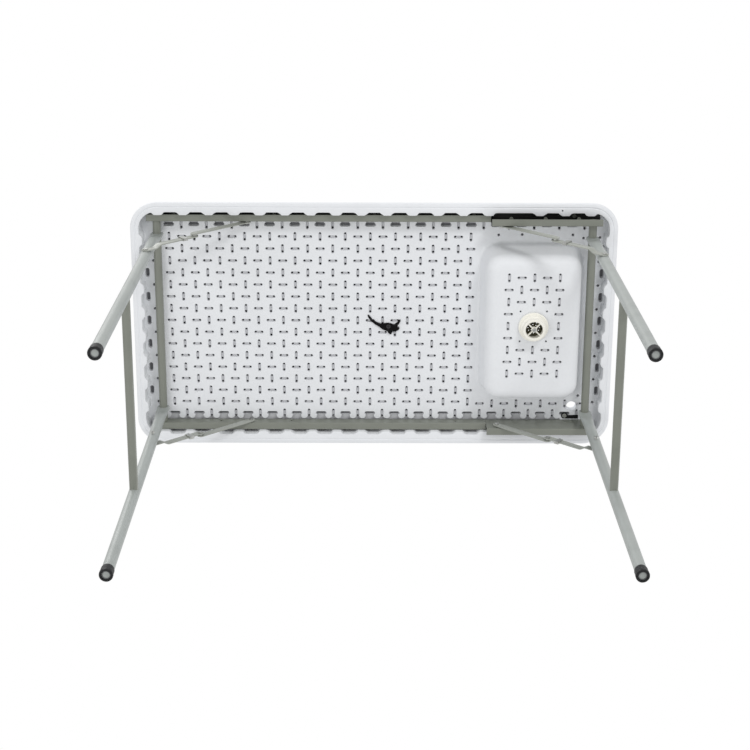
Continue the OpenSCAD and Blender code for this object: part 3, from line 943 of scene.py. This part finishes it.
    def basin_lattice(self) -> tuple[np.ndarray, np.ndarray]:
        """Centres of the dashes under the basin, five by nine, with the drain's place left free.

        Returns:
            Centres (n, 2), and True where a dash lies along the table.
        """
        a, b = (g.ravel() for g in np.meshgrid(np.arange(-2, 3), np.arange(-4, 5), indexing="ij"))
        free = (np.abs(a) < 2) & (np.abs(b) < 2)
        x, y = self.low_dashes
        spots = np.column_stack([x + a * PITCH, y + b * PITCH])
        return spots[~free], ((a + b) % 2 != 0)[~free]

    def slots(
        self,
        spots: np.ndarray,
        lengthways: np.ndarray,
        mouth: float,
        depth: float,
        size: Pair,
    ) -> Shell:
        """Cutters for the shallow middle of each dash: a slot with a flared mouth and a domed roof.

        Args:
            spots: Centres (n, 2).
            lengthways: True where the slot lies along the table.
            mouth: Height of the face that the slots are sunk into, from below.
            depth: How deep they go.
            size: Length and width.

        Returns:
            All cutters in one shell.
        """
        length, width = size
        levels = [(1.8, -0.6), (1.8, 0.0), (0.5, 1.0), (0.0, depth - 1.4), (-1.8, depth)]
        flat = np.stack([capsule(length + grow, width + grow) for grow, _ in levels])
        rise = np.array([mouth + up for _, up in levels])
        return combined([self.stood(flat, rise, spot, way) for spot, way in zip(spots, lengthways)])

    def stood(self, flat: np.ndarray, rise: np.ndarray, spot: np.ndarray, lengthways: bool) -> Shell:
        """Stacks outlines (levels, n, 2) over a spot.

        Args:
            flat: The outlines about the origin.
            rise: Height of each.
            spot: Place in plan.
            lengthways: False to turn them a quarter.

        Returns:
            The closed shell.
        """
        if not lengthways:
            flat = np.stack([-flat[..., 1], flat[..., 0]], axis=-1)
        height = np.broadcast_to(rise[:, None, None], flat.shape[:2] + (1,))
        return lofted(np.concatenate([flat + spot, height], axis=-1))

    def pits(self, spots: np.ndarray, mouth: float, depth: float, radius: float) -> Shell:
        """Round pits that narrow a little towards their roof, sunk from below at each spot.

        Args:
            spots: Centres (n, 2).
            mouth: Height of the face that they are sunk into.
            depth: How deep they go.
            radius: Radius at the mouth.

        Returns:
            All cutters in one shell.
        """
        angle = np.linspace(0, 2 * np.pi, 10, endpoint=False)
        circle = np.stack([np.cos(angle), np.sin(angle)], axis=-1)
        flat = np.stack([circle * r for r in (radius, radius, radius * 0.85)])
        rise = np.array([mouth - 0.7, mouth + 1.2, mouth + depth])
        return combined([self.stood(flat, rise, spot, True) for spot in spots])

    def ends_of(self, spots: np.ndarray, lengthways: np.ndarray, size: Pair) -> np.ndarray:
        """The two spots at the ends of each dash, half its length less half its width from the centre.

        Args:
            spots: Centres (n, 2).
            lengthways: True where a dash lies along the table.
            size: A dash's length and width.

        Returns:
            Spots (2 n, 2).
        """
        reach = size[0] / 2 - size[1] / 2
        step = np.where(lengthways[:, None], [[reach, 0.0]], [[0.0, reach]])
        return np.concatenate([spots - step, spots + step])

    def scallop(self, side: int) -> Shell:
        """Cutter for the groove beside a rail, whose inner edge is scalloped.

        With d the distance along the table to the nearest dash that lies across it, the panel reaches the
        rail in a half circle about d = 11.5, stops short in a notch where d is small, and is cut back far
        where d is over 20, beside each dash that lies along the table.

        Args:
            side: 1 for the rear rail and -1 for the front one.

        Returns:
            The cutter.
        """
        x = np.arange(-533.0, 533.0, 1.5)
        away = np.abs(np.mod(x / PITCH + self.column_shift, 2) - 1) * PITCH
        middle, radius, base = self.lobe
        narrow, near_y, far_y = self.notch
        lobe = base + np.sqrt(np.clip(radius**2 - (away - middle) ** 2, 0, None))
        notch = np.where(away < narrow, near_y, far_y)
        edge = np.where(np.abs(away - middle) < radius, np.maximum(lobe, notch), notch)
        straight, outer_y = self.groove_y
        inner = np.column_stack([x, np.where(x < self.scallop_end, edge, straight)])
        outer = np.column_stack([x[[-1, 0]], [outer_y, outer_y]])
        outline = np.concatenate([inner, outer])
        if side < 0:
            outline = outline[::-1] * [1, -1]
        return prism(outline, self.under_z - 1, self.under_z + self.groove_depth)

    def gap(self, side: int) -> Shell:
        """Cutter for the deep gap between a rail and the skirt.

        Args:
            side: 1 for the rear rail and -1 for the front one.

        Returns:
            The cutter.
        """
        near_y, far_y = self.groove_y[1], self.gap_y
        x, y = np.array([-531.0, 531.0, 531.0, -531.0]), np.array([near_y, near_y, far_y, far_y])
        outline = np.column_stack([x, y if side > 0 else -y[::-1]])
        return prism(outline, self.under_z - 1, self.under_z + self.gap_depth)

    def end_marks(self) -> tuple[np.ndarray, np.ndarray]:
        """Spots of the marks outboard of the cross tubes: long ones on even rows and dots on odd rows.

        Returns:
            Spots of the long marks, and of the dots.
        """
        rows = np.arange(-1, 14)
        even, odd = rows[rows % 2 == 0], rows[rows % 2 != 0]
        marks = [[x, (j - 6) * PITCH] for x in self.mark_x for j in even]
        dots = [[x, (j - 6) * PITCH] for x in self.dot_x for j in odd]
        return np.array(marks), np.array(dots)

    def hole(self, spot: Pair, profile: list[Pair], sides: int = 32) -> Shell:
        """Cutter of a round hole: a profile of radii and heights, turned about a spot in plan."""
        return spun(profile, sides).placed(lambda p: p + [*spot, 0])

    def build(self) -> bpy.types.Object:
        """Makes the body, adds and hollows the basin, then cuts the holes, grooves, slots and pits.

        Returns:
            The finished top.
        """
        obj = mesh_object("moulded_top", self.body())
        cut(obj, self.basin_outside(), "UNION")
        cut(obj, self.basin_inside())
        bottom, low, high = self.basin_bottom, self.under_z, self.top_z
        wide = self.faucet_r + 1.5
        eased = [(wide, low - 2), (wide, low), (self.faucet_r, low + 1.5)]
        eased += [(self.faucet_r, high - 1.5), (wide, high), (wide, high + 2)]
        holes = [
            self.hole(self.drain, [(self.drain_r, bottom - 3), (self.drain_r, bottom + 15)]),
            self.hole(self.faucet, eased),
            self.hole(self.vent, [(self.vent_r, self.lip_z - 2), (self.vent_r, self.lip_z + 14)], 16),
        ]
        cut(obj, combined(holes))
        for side in (-1, 1):
            cut(obj, self.scallop(side))
            cut(obj, self.gap(side))
        self.dimple(obj)
        shade(obj, 32)
        self.paint_faces(obj)
        nodes = ("table_top", "top_underside", "top_skirt", "sink_basin")
        return keep(obj, "top", "moulded_top", UNDERSIDE, *nodes)

    def dimple(self, obj: bpy.types.Object) -> None:
        """Cuts the slots first and then the pits at their ends.

        Args:
            obj: The top.
        """
        spots, way = self.lattice()
        edge_row = (np.abs(spots[:, 1]) > 230) & way
        low, low_way = self.basin_lattice()
        marks, dots = self.end_marks()
        across = np.zeros(len(marks), bool)
        slots = [
            self.slots(spots[~edge_row], way[~edge_row], self.under_z, self.dash_depth, self.dash),
            self.slots(spots[edge_row], way[edge_row], self.under_z, 9.4, self.edge_dash),
            self.slots(low, low_way, self.basin_bottom, 4.0, self.dash),
            self.slots(marks, across, self.under_z, 9.0, self.end_mark),
        ]
        cut(obj, combined(slots))
        x, y = self.low_dashes
        dx, dy = self.drain_dots
        drain_dots = [[x + sx * dx, y + sy * dy] for sx in (-1, 1) for sy in (-1, 1)]
        ends = self.ends_of(spots[~edge_row], way[~edge_row], self.dash)
        pits = [
            self.pits(ends, self.under_z + self.dash_depth - 1, self.pit_depth - self.dash_depth, self.pit_r),
            self.pits(np.concatenate([dots, self.basin_dots]), self.under_z, 12.0, self.dot_r),
            self.pits(self.ends_of(low, low_way, self.dash), self.basin_bottom + 3.4, 3.6, self.pit_r),
            self.pits(np.array(drain_dots), self.basin_bottom, 6.0, self.pit_r),
        ]
        cut(obj, combined(pits))

    def paint_faces(self, obj: bpy.types.Object) -> None:
        """Gives the work face its pebbled finish, and paints shade into the insides of dimples, grooves and pits
        as darker colours.

        A face is inside a dimple if its middle is more than 1.2 mm above the face that the dimples are sunk
        into, away from the basin's walls and the faucet hole, and in a pit if it is more than 9 mm above it.

        Args:
            obj: The top, with its dimples cut.
        """
        dress(obj, UNDERSIDE, WORK_FACE, DIMPLE_SHADE, DEEP_SHADE, GAP_SHADE)
        x, y, z = per_face(obj, "center").T / MM
        bx, by = self.basin_centre
        tub = (np.abs(x - bx) < self.basin_half[0] + 8) & (np.abs(y - by) < self.basin_half[1] + 8)
        hole = np.hypot(x - self.faucet[0], y - self.faucet[1]) < self.faucet_r + 4
        corner_x, corner_y, corner_r = self.panel_corner
        out_x, out_y = np.maximum(np.abs(x) - corner_x, 0), np.maximum(np.abs(y) - corner_y, 0)
        panel = (np.abs(x) < self.panel_half[0]) & (np.abs(y) < self.panel_half[1])
        panel &= ~tub & ~hole & (np.hypot(out_x, out_y) <= corner_r)
        half_x, half_y, shift = self.tub_floor
        middle = (np.abs(x - bx) < half_x) & (np.abs(y - by + shift) < half_y)
        middle &= np.hypot(x - self.drain[0], y - self.drain[1]) > self.drain_r + 3
        depth = np.where(panel, z - self.under_z, np.where(middle, z - self.basin_bottom, 0.0))
        inside = (depth > self.inside_from) & (depth < np.where(panel, *self.roof_below))
        deep = inside & (depth > np.where(panel, *self.deep_from))
        kind = np.zeros(len(z), np.int32)
        kind[(per_face(obj, "normal")[:, 2] > 0.3) & (z > self.top_z - 30)] = 1
        # Painted shade: slot 2 darkens the insides of dimples and grooves, and slot 3 darkens the pits further.
        kind[inside] = 2
        kind[deep] = 3
        # Painted shade: slot 4 is near black in the gap between each rail and the skirt.
        kind[inside & (np.abs(y) > self.gap_from_y)] = 4
        assign(obj, kind)


# ---- leg frames ------------------------------------------------------------------------


class End(Enum):
    """The two ends of the table, with the height of each fold axis."""

    LEFT = ("left", 892.0, 1)
    RIGHT = ("right", 865.0, -1)

    @property
    def label(self) -> str:
        """The end's name in node names."""
        return self.value[0]

    @property
    def pivot_z(self) -> float:
        """Height of the fold axis."""
        return self.value[1]

    @property
    def facing(self) -> int:
        """1 where the table lies towards +X of the fold axis, and -1 where it lies towards -X."""
        return self.value[2]


class Edge(Enum):
    """The two long edges of the table."""

    FRONT = ("front", -1)
    REAR = ("rear", 1)


@dataclass
class LegFrame:
    """One leg frame: two tubes pinched flat at their tops, their foot caps, and the braces."""

    end: End
    pivot_x: float = 510.0
    leg_y: float = 218.0
    lean: Pair = (21.0, 14.0)
    lean_over: float = 892.0
    tube_r: float = 12.7
    pinch: Pair = (84.0, 24.0)
    tongue: Pair = (15.0, 2.5)
    foot_r: float = 14.4
    sleeve: float = 27.0
    brace_foot: float = 196.0
    anchor: Pair = (212.0, 3.0)
    link_w: float = 18.0
    link_t: float = 2.0
    jog: Pair = (24.0, 40.0)
    layers: Triple = (234.5, 241.5, 247.0)

    def to_corner(self, edge: Edge) -> tuple[Move, bool]:
        """Works out the move from the fold axis of the left rear corner to this frame's corner.

        Args:
            edge: The long edge that the leg stands at.

        Returns:
            The move, and True if it mirrors.
        """
        signs = np.array([self.end.facing, edge.value[1], 1.0])
        start = np.array([-self.pivot_x, 0.0, self.end.pivot_z])
        return (lambda p: (p + start) * signs), signs.prod() < 0

    def leg_axes(self) -> np.ndarray:
        """Rows are the leg's own axes: across it in the fold plane, across it sideways, and up along it.

        Returns:
            Array (3, 3).
        """
        swing = math.atan(self.lean[0] / self.lean_over)
        tip = math.atan(self.lean[1] / self.lean_over * math.cos(swing))
        cs, ss, ct, st = math.cos(swing), math.sin(swing), math.cos(tip), math.sin(tip)
        return np.array([[cs, 0, -ss], [ss * st, ct, cs * st], [ss * ct, -st, cs * ct]])

    def leg_length(self) -> float:
        """Length of the leg's axis from its fold axis to the floor."""
        return self.end.pivot_z / self.leg_axes()[2, 2]

    def along_leg(self, points: np.ndarray) -> np.ndarray:
        """Moves points from the leg's own axes, with the fold axis at the origin, to the corner's."""
        return points @ self.leg_axes() + [0, self.leg_y, 0]

    def tube(self) -> Shell:
        """A round tube that is pinched into a flat tongue.

        At distance s below the fold axis the section is a rounded box: half width and half thickness go
        from the tube's radius to the tongue's by a smooth step between the pinch's two ends, its corners
        sharpen with them, and above the axis the width closes as a circle does.

        Returns:
            The tube on the leg's own axes.
        """
        low, high = self.pinch
        s = np.concatenate(
            [
                [self.leg_length() - 4, self.leg_length() - 30, 500.0, 250.0],
                np.linspace(low + 6, high - 4, 24),
                [12.0, 4.0],
                -self.tongue[0] * np.sin(np.linspace(0, 84, 9) * np.pi / 180),
            ]
        )
        flat = smooth_step((low - s) / (low - high))[:, None]
        angle = np.linspace(0, 2 * np.pi, 40, endpoint=False)[None]
        power = 1 - 0.62 * flat
        cos, sin = np.cos(angle), np.sin(angle)
        close = np.sqrt(np.clip(1 - (np.minimum(s, 0) / self.tongue[0]) ** 2, 0.0, None))[:, None]
        width = (self.tube_r + (self.tongue[0] - self.tube_r) * flat) * close
        thick = self.tube_r + (self.tongue[1] - self.tube_r) * flat
        u = width * np.sign(cos) * np.abs(cos) ** power
        v = thick * np.sign(sin) * np.abs(sin) ** power
        rings = np.stack([u, v, np.broadcast_to(-s[:, None], u.shape)], axis=-1)
        return lofted(rings)

    def foot(self) -> tuple[Shell, int]:
        """Turns a cap round the leg's foot: a sleeve, a rounded sole edge and a recessed core.

        Returns:
            The cap, and how many of its faces come before the core's.
        """
        r, top = self.foot_r, self.sleeve
        profile = [(9.4, 3.4), (10.0, -1.5), (r - 1.6, -1.5), (r - 0.4, 0.6), (r, 2.4)]
        profile += [(r, 8.0), (r - 0.5, 8.8), (r - 0.5, top - 3), (r - 0.9, top - 1)]
        profile += [(12.9, top), (12.75, top)]
        profile += [(12.75, 6.0), (9.4, 6.0)]
        core = [(0.2, 4.4), (7.6, 4.4), (7.6, 2.2), (9.1, 2.2), (9.1, 5.6), (0.2, 5.6)]
        shell = combined([turned(profile, 48), turned(core, 32)])
        return shell.placed(lambda p: p - [0, 0, self.leg_length()]), 48 * len(profile)

    def brace_frame(self) -> tuple[np.ndarray, np.ndarray, np.ndarray, float, float]:
        """The brace's origin on the leg, its two directions, and the lengths of its lower and upper links.

        Returns:
            Origin, direction along, direction up, lower length, upper length.
        """
        swing = math.atan(self.lean[0] / self.lean_over)
        origin = np.array([-self.brace_foot * math.sin(swing), 0, -self.brace_foot * math.cos(swing)])
        target = np.array([self.anchor[0], 0, -self.anchor[1]])
        length = float(np.linalg.norm(target - origin))
        along = (target - origin) / length
        up = np.array([-along[2], 0, along[0]])
        spare = self.anchor[0] - self.brace_foot
        return origin, along, up, (length - spare) / 2, (length + spare) / 2

    def strip(self, x0: float, x1: float, layer: Move, curl: float) -> Shell:
        """A pressed steel strip with round ends and turned edges.

        At x the half width is that of a stadium from x0 to x1. Across the strip, with v from -1 to 1, both
        faces move by curl times v to the fourth power, and they lie half the thickness either side of the layer.

        Args:
            x0: Centre of the first round end.
            x1: Centre of the second.
            layer: Gives the distance of the strip's middle from the table's centre line at each x.
            curl: How far the edges turn, which is negative towards the centre line.

        Returns:
            The strip, with X along the brace, Y sideways and Z up.
        """
        r = self.link_w / 2
        cap = np.linspace(-86, 0, 9) * np.pi / 180
        straight = np.linspace(x0 + 3, x1 - 3, 44)
        x = np.concatenate([x0 + r * np.sin(cap), straight, x1 - r * np.sin(cap[::-1])])
        beyond = np.maximum(np.maximum(x0 - x, x - x1), 0) / r
        half = r * np.sqrt(np.clip(1 - beyond**2, 0, None))
        v = np.concatenate([np.linspace(-1, 1, 15), np.linspace(1, -1, 15)])
        face = np.repeat([-1.0, 1.0], 15)
        z = half[:, None] * v[None]
        wide = np.abs(z / r)
        press = curl * wide**4 - 0.45 * np.sign(curl) * np.exp(-((z / 2.6) ** 2))
        y = layer(x)[:, None] + face[None] * self.link_t / 2 + press
        return lofted(np.stack([np.broadcast_to(x[:, None], z.shape), y, z], axis=-1))

    def on_brace(self, points: np.ndarray) -> np.ndarray:
        """Moves points from the brace's own axes to the corner's."""
        origin, along, up, _, _ = self.brace_frame()
        return origin + points[:, :1] * along + points[:, 1:2] * np.array([0, 1, 0]) + points[:, 2:] * up

    def lower_link(self) -> Shell:
        """The link on the leg, whose middle moves out by a smooth step from the leg's side to its own layer.

        Returns:
            The strip on the brace's axes.
        """
        _, _, _, lower, _ = self.brace_frame()
        side, out = self.layers[0] + 1.25, self.layers[1] + 1.25
        start, stop = self.jog

        def layer(x: np.ndarray) -> np.ndarray:
            """Distance of the strip's middle from the table's centre line."""
            return side + (out - side) * smooth_step((x - start) / (stop - start))

        return self.strip(0.0, lower, layer, -0.8)

    def upper_link(self) -> Shell:
        """The link on the rail, straight in its own layer."""
        _, _, _, lower, upper = self.brace_frame()
        return self.strip(lower, lower + upper, lambda x: np.full(len(x), self.layers[2] + 1.25), 0.8)

    def build(self) -> None:
        """Makes the legs, foot caps and links of this end."""
        for edge in Edge:
            label, side = self.end.label, edge.value[0]
            place, mirrored = self.to_corner(edge)
            leg = self.tube().placed(lambda p: place(self.along_leg(p)), mirrored)
            obj = mesh_object(f"{label}_{side}_leg_tube", leg, 50)
            keep(obj, f"{label}_frame", "leg_paint", LEG_COAT, f"{label}_leg_{side}")
            cap, before_core = self.foot()
            foot = cap.placed(lambda p: place(self.along_leg(p)), mirrored)
            foot = foot.placed(lambda p: np.column_stack([p[:, :2], np.maximum(p[:, 2], 0)]))
            obj = mesh_object(f"{label}_{side}_foot_cap", foot, 40)
            dress(obj, FOOT_PLASTIC, FOOT_CORE)
            assign(obj, np.arange(len(obj.data.polygons)) >= before_core)
            keep(obj, f"{label}_frame", "black_plastic", FOOT_PLASTIC, f"{label}_foot_{side}")
            lower = self.lower_link().placed(lambda p: place(self.on_brace(p)), mirrored)
            obj = mesh_object(f"{label}_{side}_lower_strip", lower, 50)
            keep(obj, f"{label}_{side}_lower_link", "link_steel", LINK_COAT, f"{label}_{side}_leg_link")
            upper = self.upper_link().placed(lambda p: place(self.on_brace(p)), mirrored)
            obj = mesh_object(f"{label}_{side}_upper_strip", upper, 50)
            keep(obj, f"{label}_{side}_upper_link", "link_steel", LINK_COAT, f"{label}_{side}_rail_link")


# ---- side rails ------------------------------------------------------------------------


@dataclass
class SideRails:
    """The roll-formed rails under the long edges: C sections, open outboard, deeper under the basin's end."""

    ends: Pair = (-533.0, 272.6)
    deep_ends: Pair = (273.0, 531.0)
    deep_z: float = 843.5
    inner_y: float = 252.0
    width: float = 16.5
    low_z: float = 879.0
    high_z: float = UNDER_Z
    sheet: float = 1.5
    bend: float = 2.4
    holes: tuple[float, ...] = (-371.0, -200.0, 200.0)
    hole_r: float = 3.0

    def section(self, z0: float) -> np.ndarray:
        """Draws a C section whose bends are quarter circles in five steps.

        Args:
            z0: Height of the section's lower face.

        Returns:
            The outline (n, 2).
        """
        y0, y1, z1, t, b = self.inner_y, self.inner_y + self.width, self.high_z, self.sheet, self.bend
        arc = np.linspace(0, 90, 5) * np.pi / 180
        c, s = np.cos(arc), np.sin(arc)
        lower = np.column_stack([y0 + b - b * s, z0 + b - b * c])
        upper = np.column_stack([y0 + b - b * c, z1 - b + b * s])
        inner = b - t
        back = np.column_stack([y0 + b - inner * s, z1 - b + inner * c])
        floor = np.column_stack([y0 + b - inner * c, z0 + b - inner * s])
        ends = [[[y1, z0]], lower, upper, [[y1, z1], [y1, z1 - t]], back, floor, [[y1, z0 + t]]]
        return np.concatenate([np.array(e) for e in ends])[::-1]

    def build(self) -> None:
        """Draws the sections out along the table and drills the webs."""
        drill = spun([(self.hole_r, -6.0), (self.hole_r, 6.0)], 16)
        mid_z, web_y = (self.low_z + self.high_z) / 2, self.inner_y
        holes = [
            drill.placed(lambda p, x=x: np.column_stack([p[:, 0] + x, p[:, 2] + web_y, mid_z - p[:, 1]]))
            for x in self.holes
        ]
        bars = combined([self.bar(self.ends, self.low_z), self.bar(self.deep_ends, self.deep_z)])
        for edge in Edge:
            label, sign = edge.value
            flip = np.array([1, sign, 1])
            obj = mesh_object(f"{label}_c_rail", bars.placed(lambda p: p * flip, sign < 0), 35)
            cut(obj, combined([h.placed(lambda p: p * flip, sign < 0) for h in holes]))
            shade(obj, 35)
            self.shadow_inside(obj)
            keep(obj, "top", "painted_steel", FRAME_STEEL, f"side_rail_{label}", f"drop_channel_{label}")

    def shadow_inside(self, obj: bpy.types.Object) -> None:
        """Paints shade into the inside of the section, a sheet's thickness or more from every side, as a
        near-black colour.

        Args:
            obj: The drilled rail.
        """
        dress(obj, FRAME_STEEL, RAIL_PAINTED_SHADE)
        x, y, z = per_face(obj, "center").T / MM
        low = np.where(x > self.deep_ends[0] - 0.2, self.deep_z, self.low_z)
        # Painted shade: faces inside the C section take the near-black colour.
        inside = (np.abs(y) > self.inner_y + 1.3) & (z > low + 1.2) & (z < self.high_z - 1.2)
        assign(obj, inside)

    def bar(self, ends: Pair, z0: float) -> Shell:
        """One length of the section from height z0 up, between two places along the table."""
        section = self.section(z0)
        return lofted(np.stack([np.column_stack([np.full(len(section), x), section]) for x in ends]))


# ---- drain and strap -------------------------------------------------------------------


@dataclass
class Drain:
    """The outlet cup under the basin, with four spokes and a boss."""

    centre: Pair = DRAIN_CENTRE
    top_z: float = 820.0
    flange_r: float = 35.5
    cup_r: float = 26.5
    bore_r: float = 20.0
    drop: float = 27.0
    floor_z: float = BASIN_BOTTOM_Z + BASIN_FLOOR_T

    def at(self, points: np.ndarray) -> np.ndarray:
        """Moves points over the drain's centre."""
        return points + [*self.centre, 0]

    def cup(self) -> Shell:
        """Turns the cup's wall: a rounded flange, a step, the leaning cup with its rim bead, and the bore.

        Returns:
            The closed wall.
        """
        t, f, c, b, end = self.top_z, self.flange_r, self.cup_r, self.bore_r, self.top_z - self.drop
        profile = [(23, t), (23, t - 6), (b + 0.6, t - 7)]
        profile += [(b, end + 1.4), (b + 1.0, end + 0.2), (b + 2.4, end)]
        profile += [(c - 2.0, end), (c - 0.5, end + 0.5), (c, end + 1.8), (c, end + 4), (c - 0.8, end + 4.8)]
        profile += [(c - 0.8, t - 12), (c + 1.0, t - 10.4)]
        profile += [(f - 5.4, t - 10), (f - 5.0, t - 9.4), (f - 5, t - 4.6)]
        profile += [(f - 1.2, t - 4.4), (f - 0.2, t - 3.6), (f, t - 2.4), (f, t - 0.4), (f - 0.6, t)]
        return turned(profile[::-1], 72)

    def spoke(self, angle: float) -> Shell:
        """A bar across the bore with eased edges.

        Args:
            angle: Its turn about the bore in degrees.

        Returns:
            The bar.
        """
        low = self.top_z - self.drop + 4.5
        section = [(-1.3, low + 0.4), (-0.9, low), (0.9, low), (1.3, low + 0.4)]
        section += [(1.3, low + 5), (-1.3, low + 5)]
        yz = np.array(section)
        x = np.array([-self.bore_r - 1.5, self.bore_r + 1.5])
        rings = np.stack([np.column_stack([np.full(6, v), yz[:, 0], yz[:, 1]]) for v in x])
        a = math.radians(angle)
        turn = np.array([[math.cos(a), math.sin(a), 0], [-math.sin(a), math.cos(a), 0], [0, 0, 1]])
        return lofted(rings).placed(lambda p: p @ turn)

    def strainer(self) -> Shell:
        """Turns the strainer: a flange on the basin's floor and a dish with a flat bottom in the drain hole.

        Returns:
            The closed solid.
        """
        floor, bottom = self.floor_z, self.top_z - 6
        profile = [(22.2, bottom), (22.5, bottom + 0.4), (22.5, floor), (self.flange_r, floor)]
        profile += [(self.flange_r - 1.5, floor + 2.4), (21.2, floor + 2.4), (20.2, floor + 1.4)]
        profile += [(20.0, bottom + 2.6), (19.2, bottom + 2.0)]
        return spun(profile, 64)

    def strainer_holes(self) -> Shell:
        """Cutters for two rings of small round holes through the dish's bottom.

        Returns:
            All cutters in one shell.
        """
        bottom = self.top_z - 6
        drill = spun([(1.3, bottom - 2), (1.3, bottom + 4)], 10)
        spots = [(13.4, a) for a in range(0, 360, 30)] + [(7.6, a) for a in range(15, 360, 60)]
        polar = [(r * math.cos(math.radians(a)), r * math.sin(math.radians(a))) for r, a in spots]
        return combined([drill.placed(lambda p, x=x, y=y: p + [x, y, 0]) for x, y in polar])

    def build(self) -> None:
        """Joins the spokes and the boss to the cup, and drills the strainer."""
        obj = mesh_object("drain_cup", self.cup().placed(self.at), 35)
        cut(obj, self.spoke(45).placed(self.at), "UNION")
        cut(obj, self.spoke(135).placed(self.at), "UNION")
        end = self.top_z - self.drop
        boss = [(4.0, end + 3), (5.9, end + 3), (6.5, end + 3.8)]
        boss += [(6.5, end + 11), (2.6, end + 11), (2.6, end + 5)]
        cut(obj, turned(boss, 32).placed(self.at), "UNION")
        shade(obj, 35)
        keep(obj, "top", "drain_plastic", DRAIN_PLASTIC, "drain_body")
        obj = mesh_object("strainer_dish", self.strainer().placed(self.at), 35)
        cut(obj, self.strainer_holes().placed(self.at))
        shade(obj, 35)
        keep(obj, "top", "drain_plastic", STRAINER_PLASTIC, "sink_strainer")


@dataclass
class RetainingStrap:
    """The rubber strap that holds the folded legs: a body with a thin tail, a prong and a knob.

    Each route is a list of points (x, y, half width, half thickness).
    """

    under_z: float = UNDER_Z
    tail: tuple[Quad, ...] = (
        (-14.0, -15.0, 1.6, 0.9),
        (-11.0, -10.0, 2.6, 1.3),
        (-6.0, -2.5, 2.9, 1.6),
        (5.0, 5.8, 3.6, 2.0),
        (14.0, 10.0, 4.6, 2.6),
        (24.0, 13.5, 8.6, 2.6),
        (33.0, 15.0, 10.8, 1.5),
        (42.0, 17.0, 10.4, 2.3),
        (52.0, 18.5, 8.0, 2.8),
        (59.0, 18.5, 4.2, 2.4),
        (61.5, 18.5, 1.4, 1.2),
    )
    prong: tuple[Quad, ...] = (
        (44.0, 14.0, 4.0, 2.0),
        (51.0, 11.5, 4.4, 2.6),
        (57.0, 6.0, 3.4, 2.6),
        (61.5, 0.0, 2.4, 1.9),
        (62.6, -3.5, 1.0, 0.9),
    )
    knob: tuple[Quad, ...] = (
        (35.0, 17.0, 4.5, 1.6),
        (37.0, 23.0, 5.2, 2.6),
        (39.5, 29.0, 4.8, 3.0),
        (40.5, 33.0, 2.2, 1.6),
    )

    def sweep(self, route: Sequence[Quad], wave: float) -> Shell:
        """Sweeps an oval along a route, pressed flat against the panel, with soft folds across it.

        Args:
            route: The points, with half width and half thickness.
            wave: Phase of the folds, which are a sine along the route.

        Returns:
            The swept shell.
        """
        knots = np.array(route)
        t = np.linspace(0, len(knots) - 1, 8 * len(knots))
        x, y, w, h = (np.interp(t, np.arange(len(knots)), knots[:, k]) for k in range(4))
        path = np.column_stack([x, y])
        tangent = np.gradient(path, axis=0)
        tangent /= np.linalg.norm(tangent, axis=1)[:, None]
        angle = np.linspace(0, 2 * np.pi, 24, endpoint=False)
        u = w[:, None] * np.cos(angle)
        v = h[:, None] * np.sin(angle) * (1 + 0.22 * np.sin(2.6 * t + wave)[:, None] * np.cos(2 * angle))
        x_out = path[:, :1] - tangent[:, 1:] * u
        y_out = path[:, 1:] + tangent[:, :1] * u
        z_out = self.under_z - 0.15 - h[:, None] + v
        return lofted(np.stack([x_out, y_out, np.minimum(z_out, self.under_z - 0.1)], axis=-1)[::-1])

    def build(self) -> None:
        """Joins the tail and body, the prong and the knob."""
        obj = mesh_object("retaining_strap", self.sweep(self.tail, 0.0))
        cut(obj, self.sweep(self.prong, 1.0), "UNION")
        cut(obj, self.sweep(self.knob, 2.0), "UNION")
        shade(obj, 60)
        keep(obj, "top", "strap_webbing", STRAP_RUBBER, "leg_strap")


# ---- carried-over steelwork ------------------------------------------------------------


@dataclass(frozen=True)
class Steelwork:
    """The tubes, bars, rings, rivets and screws that keep their own shape and take a finish."""

    finishes: tuple[tuple[str, Finish], ...] = (
        ("cross_tube", FRAME_STEEL),
        ("crossbar", FRAME_STEEL),
        ("lock_ring", ZINC),
        ("rivet", ZINC),
        ("rail_screws", FRAME_STEEL),
        ("channel_screws", FRAME_STEEL),
        ("strap_screw", BLACK_OXIDE),
        ("screw", ZINC),
        ("corner_clip", RUBBER),
        ("gasket", RUBBER),
    )

    def build(self, nodes: Mapping[str, bpy.types.Object]) -> None:
        """Dresses every node that still shows with the first finish whose word is in its name.

        Args:
            nodes: The frame's nodes by name.
        """
        for name, obj in nodes.items():
            if obj.hide_render:
                continue
            finish = next((f for word, f in self.finishes if word in name), FRAME_STEEL)
            dress(obj, finish)
            log.info("%s: %s", name, finish.name)


def main() -> None:
    """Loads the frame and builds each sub-assembly in order."""
    logging.basicConfig(level=logging.INFO, format="%(message)s")
    bpy.ops.wm.read_factory_settings(use_empty=True)
    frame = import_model()
    Studio().build()
    TableTop().build()
    SideRails().build()
    Drain().build()
    RetainingStrap().build()
    for end in End:
        LegFrame(end).build()
    Steelwork().build(frame["nodes"])


if __name__ == "__main__":
    main()
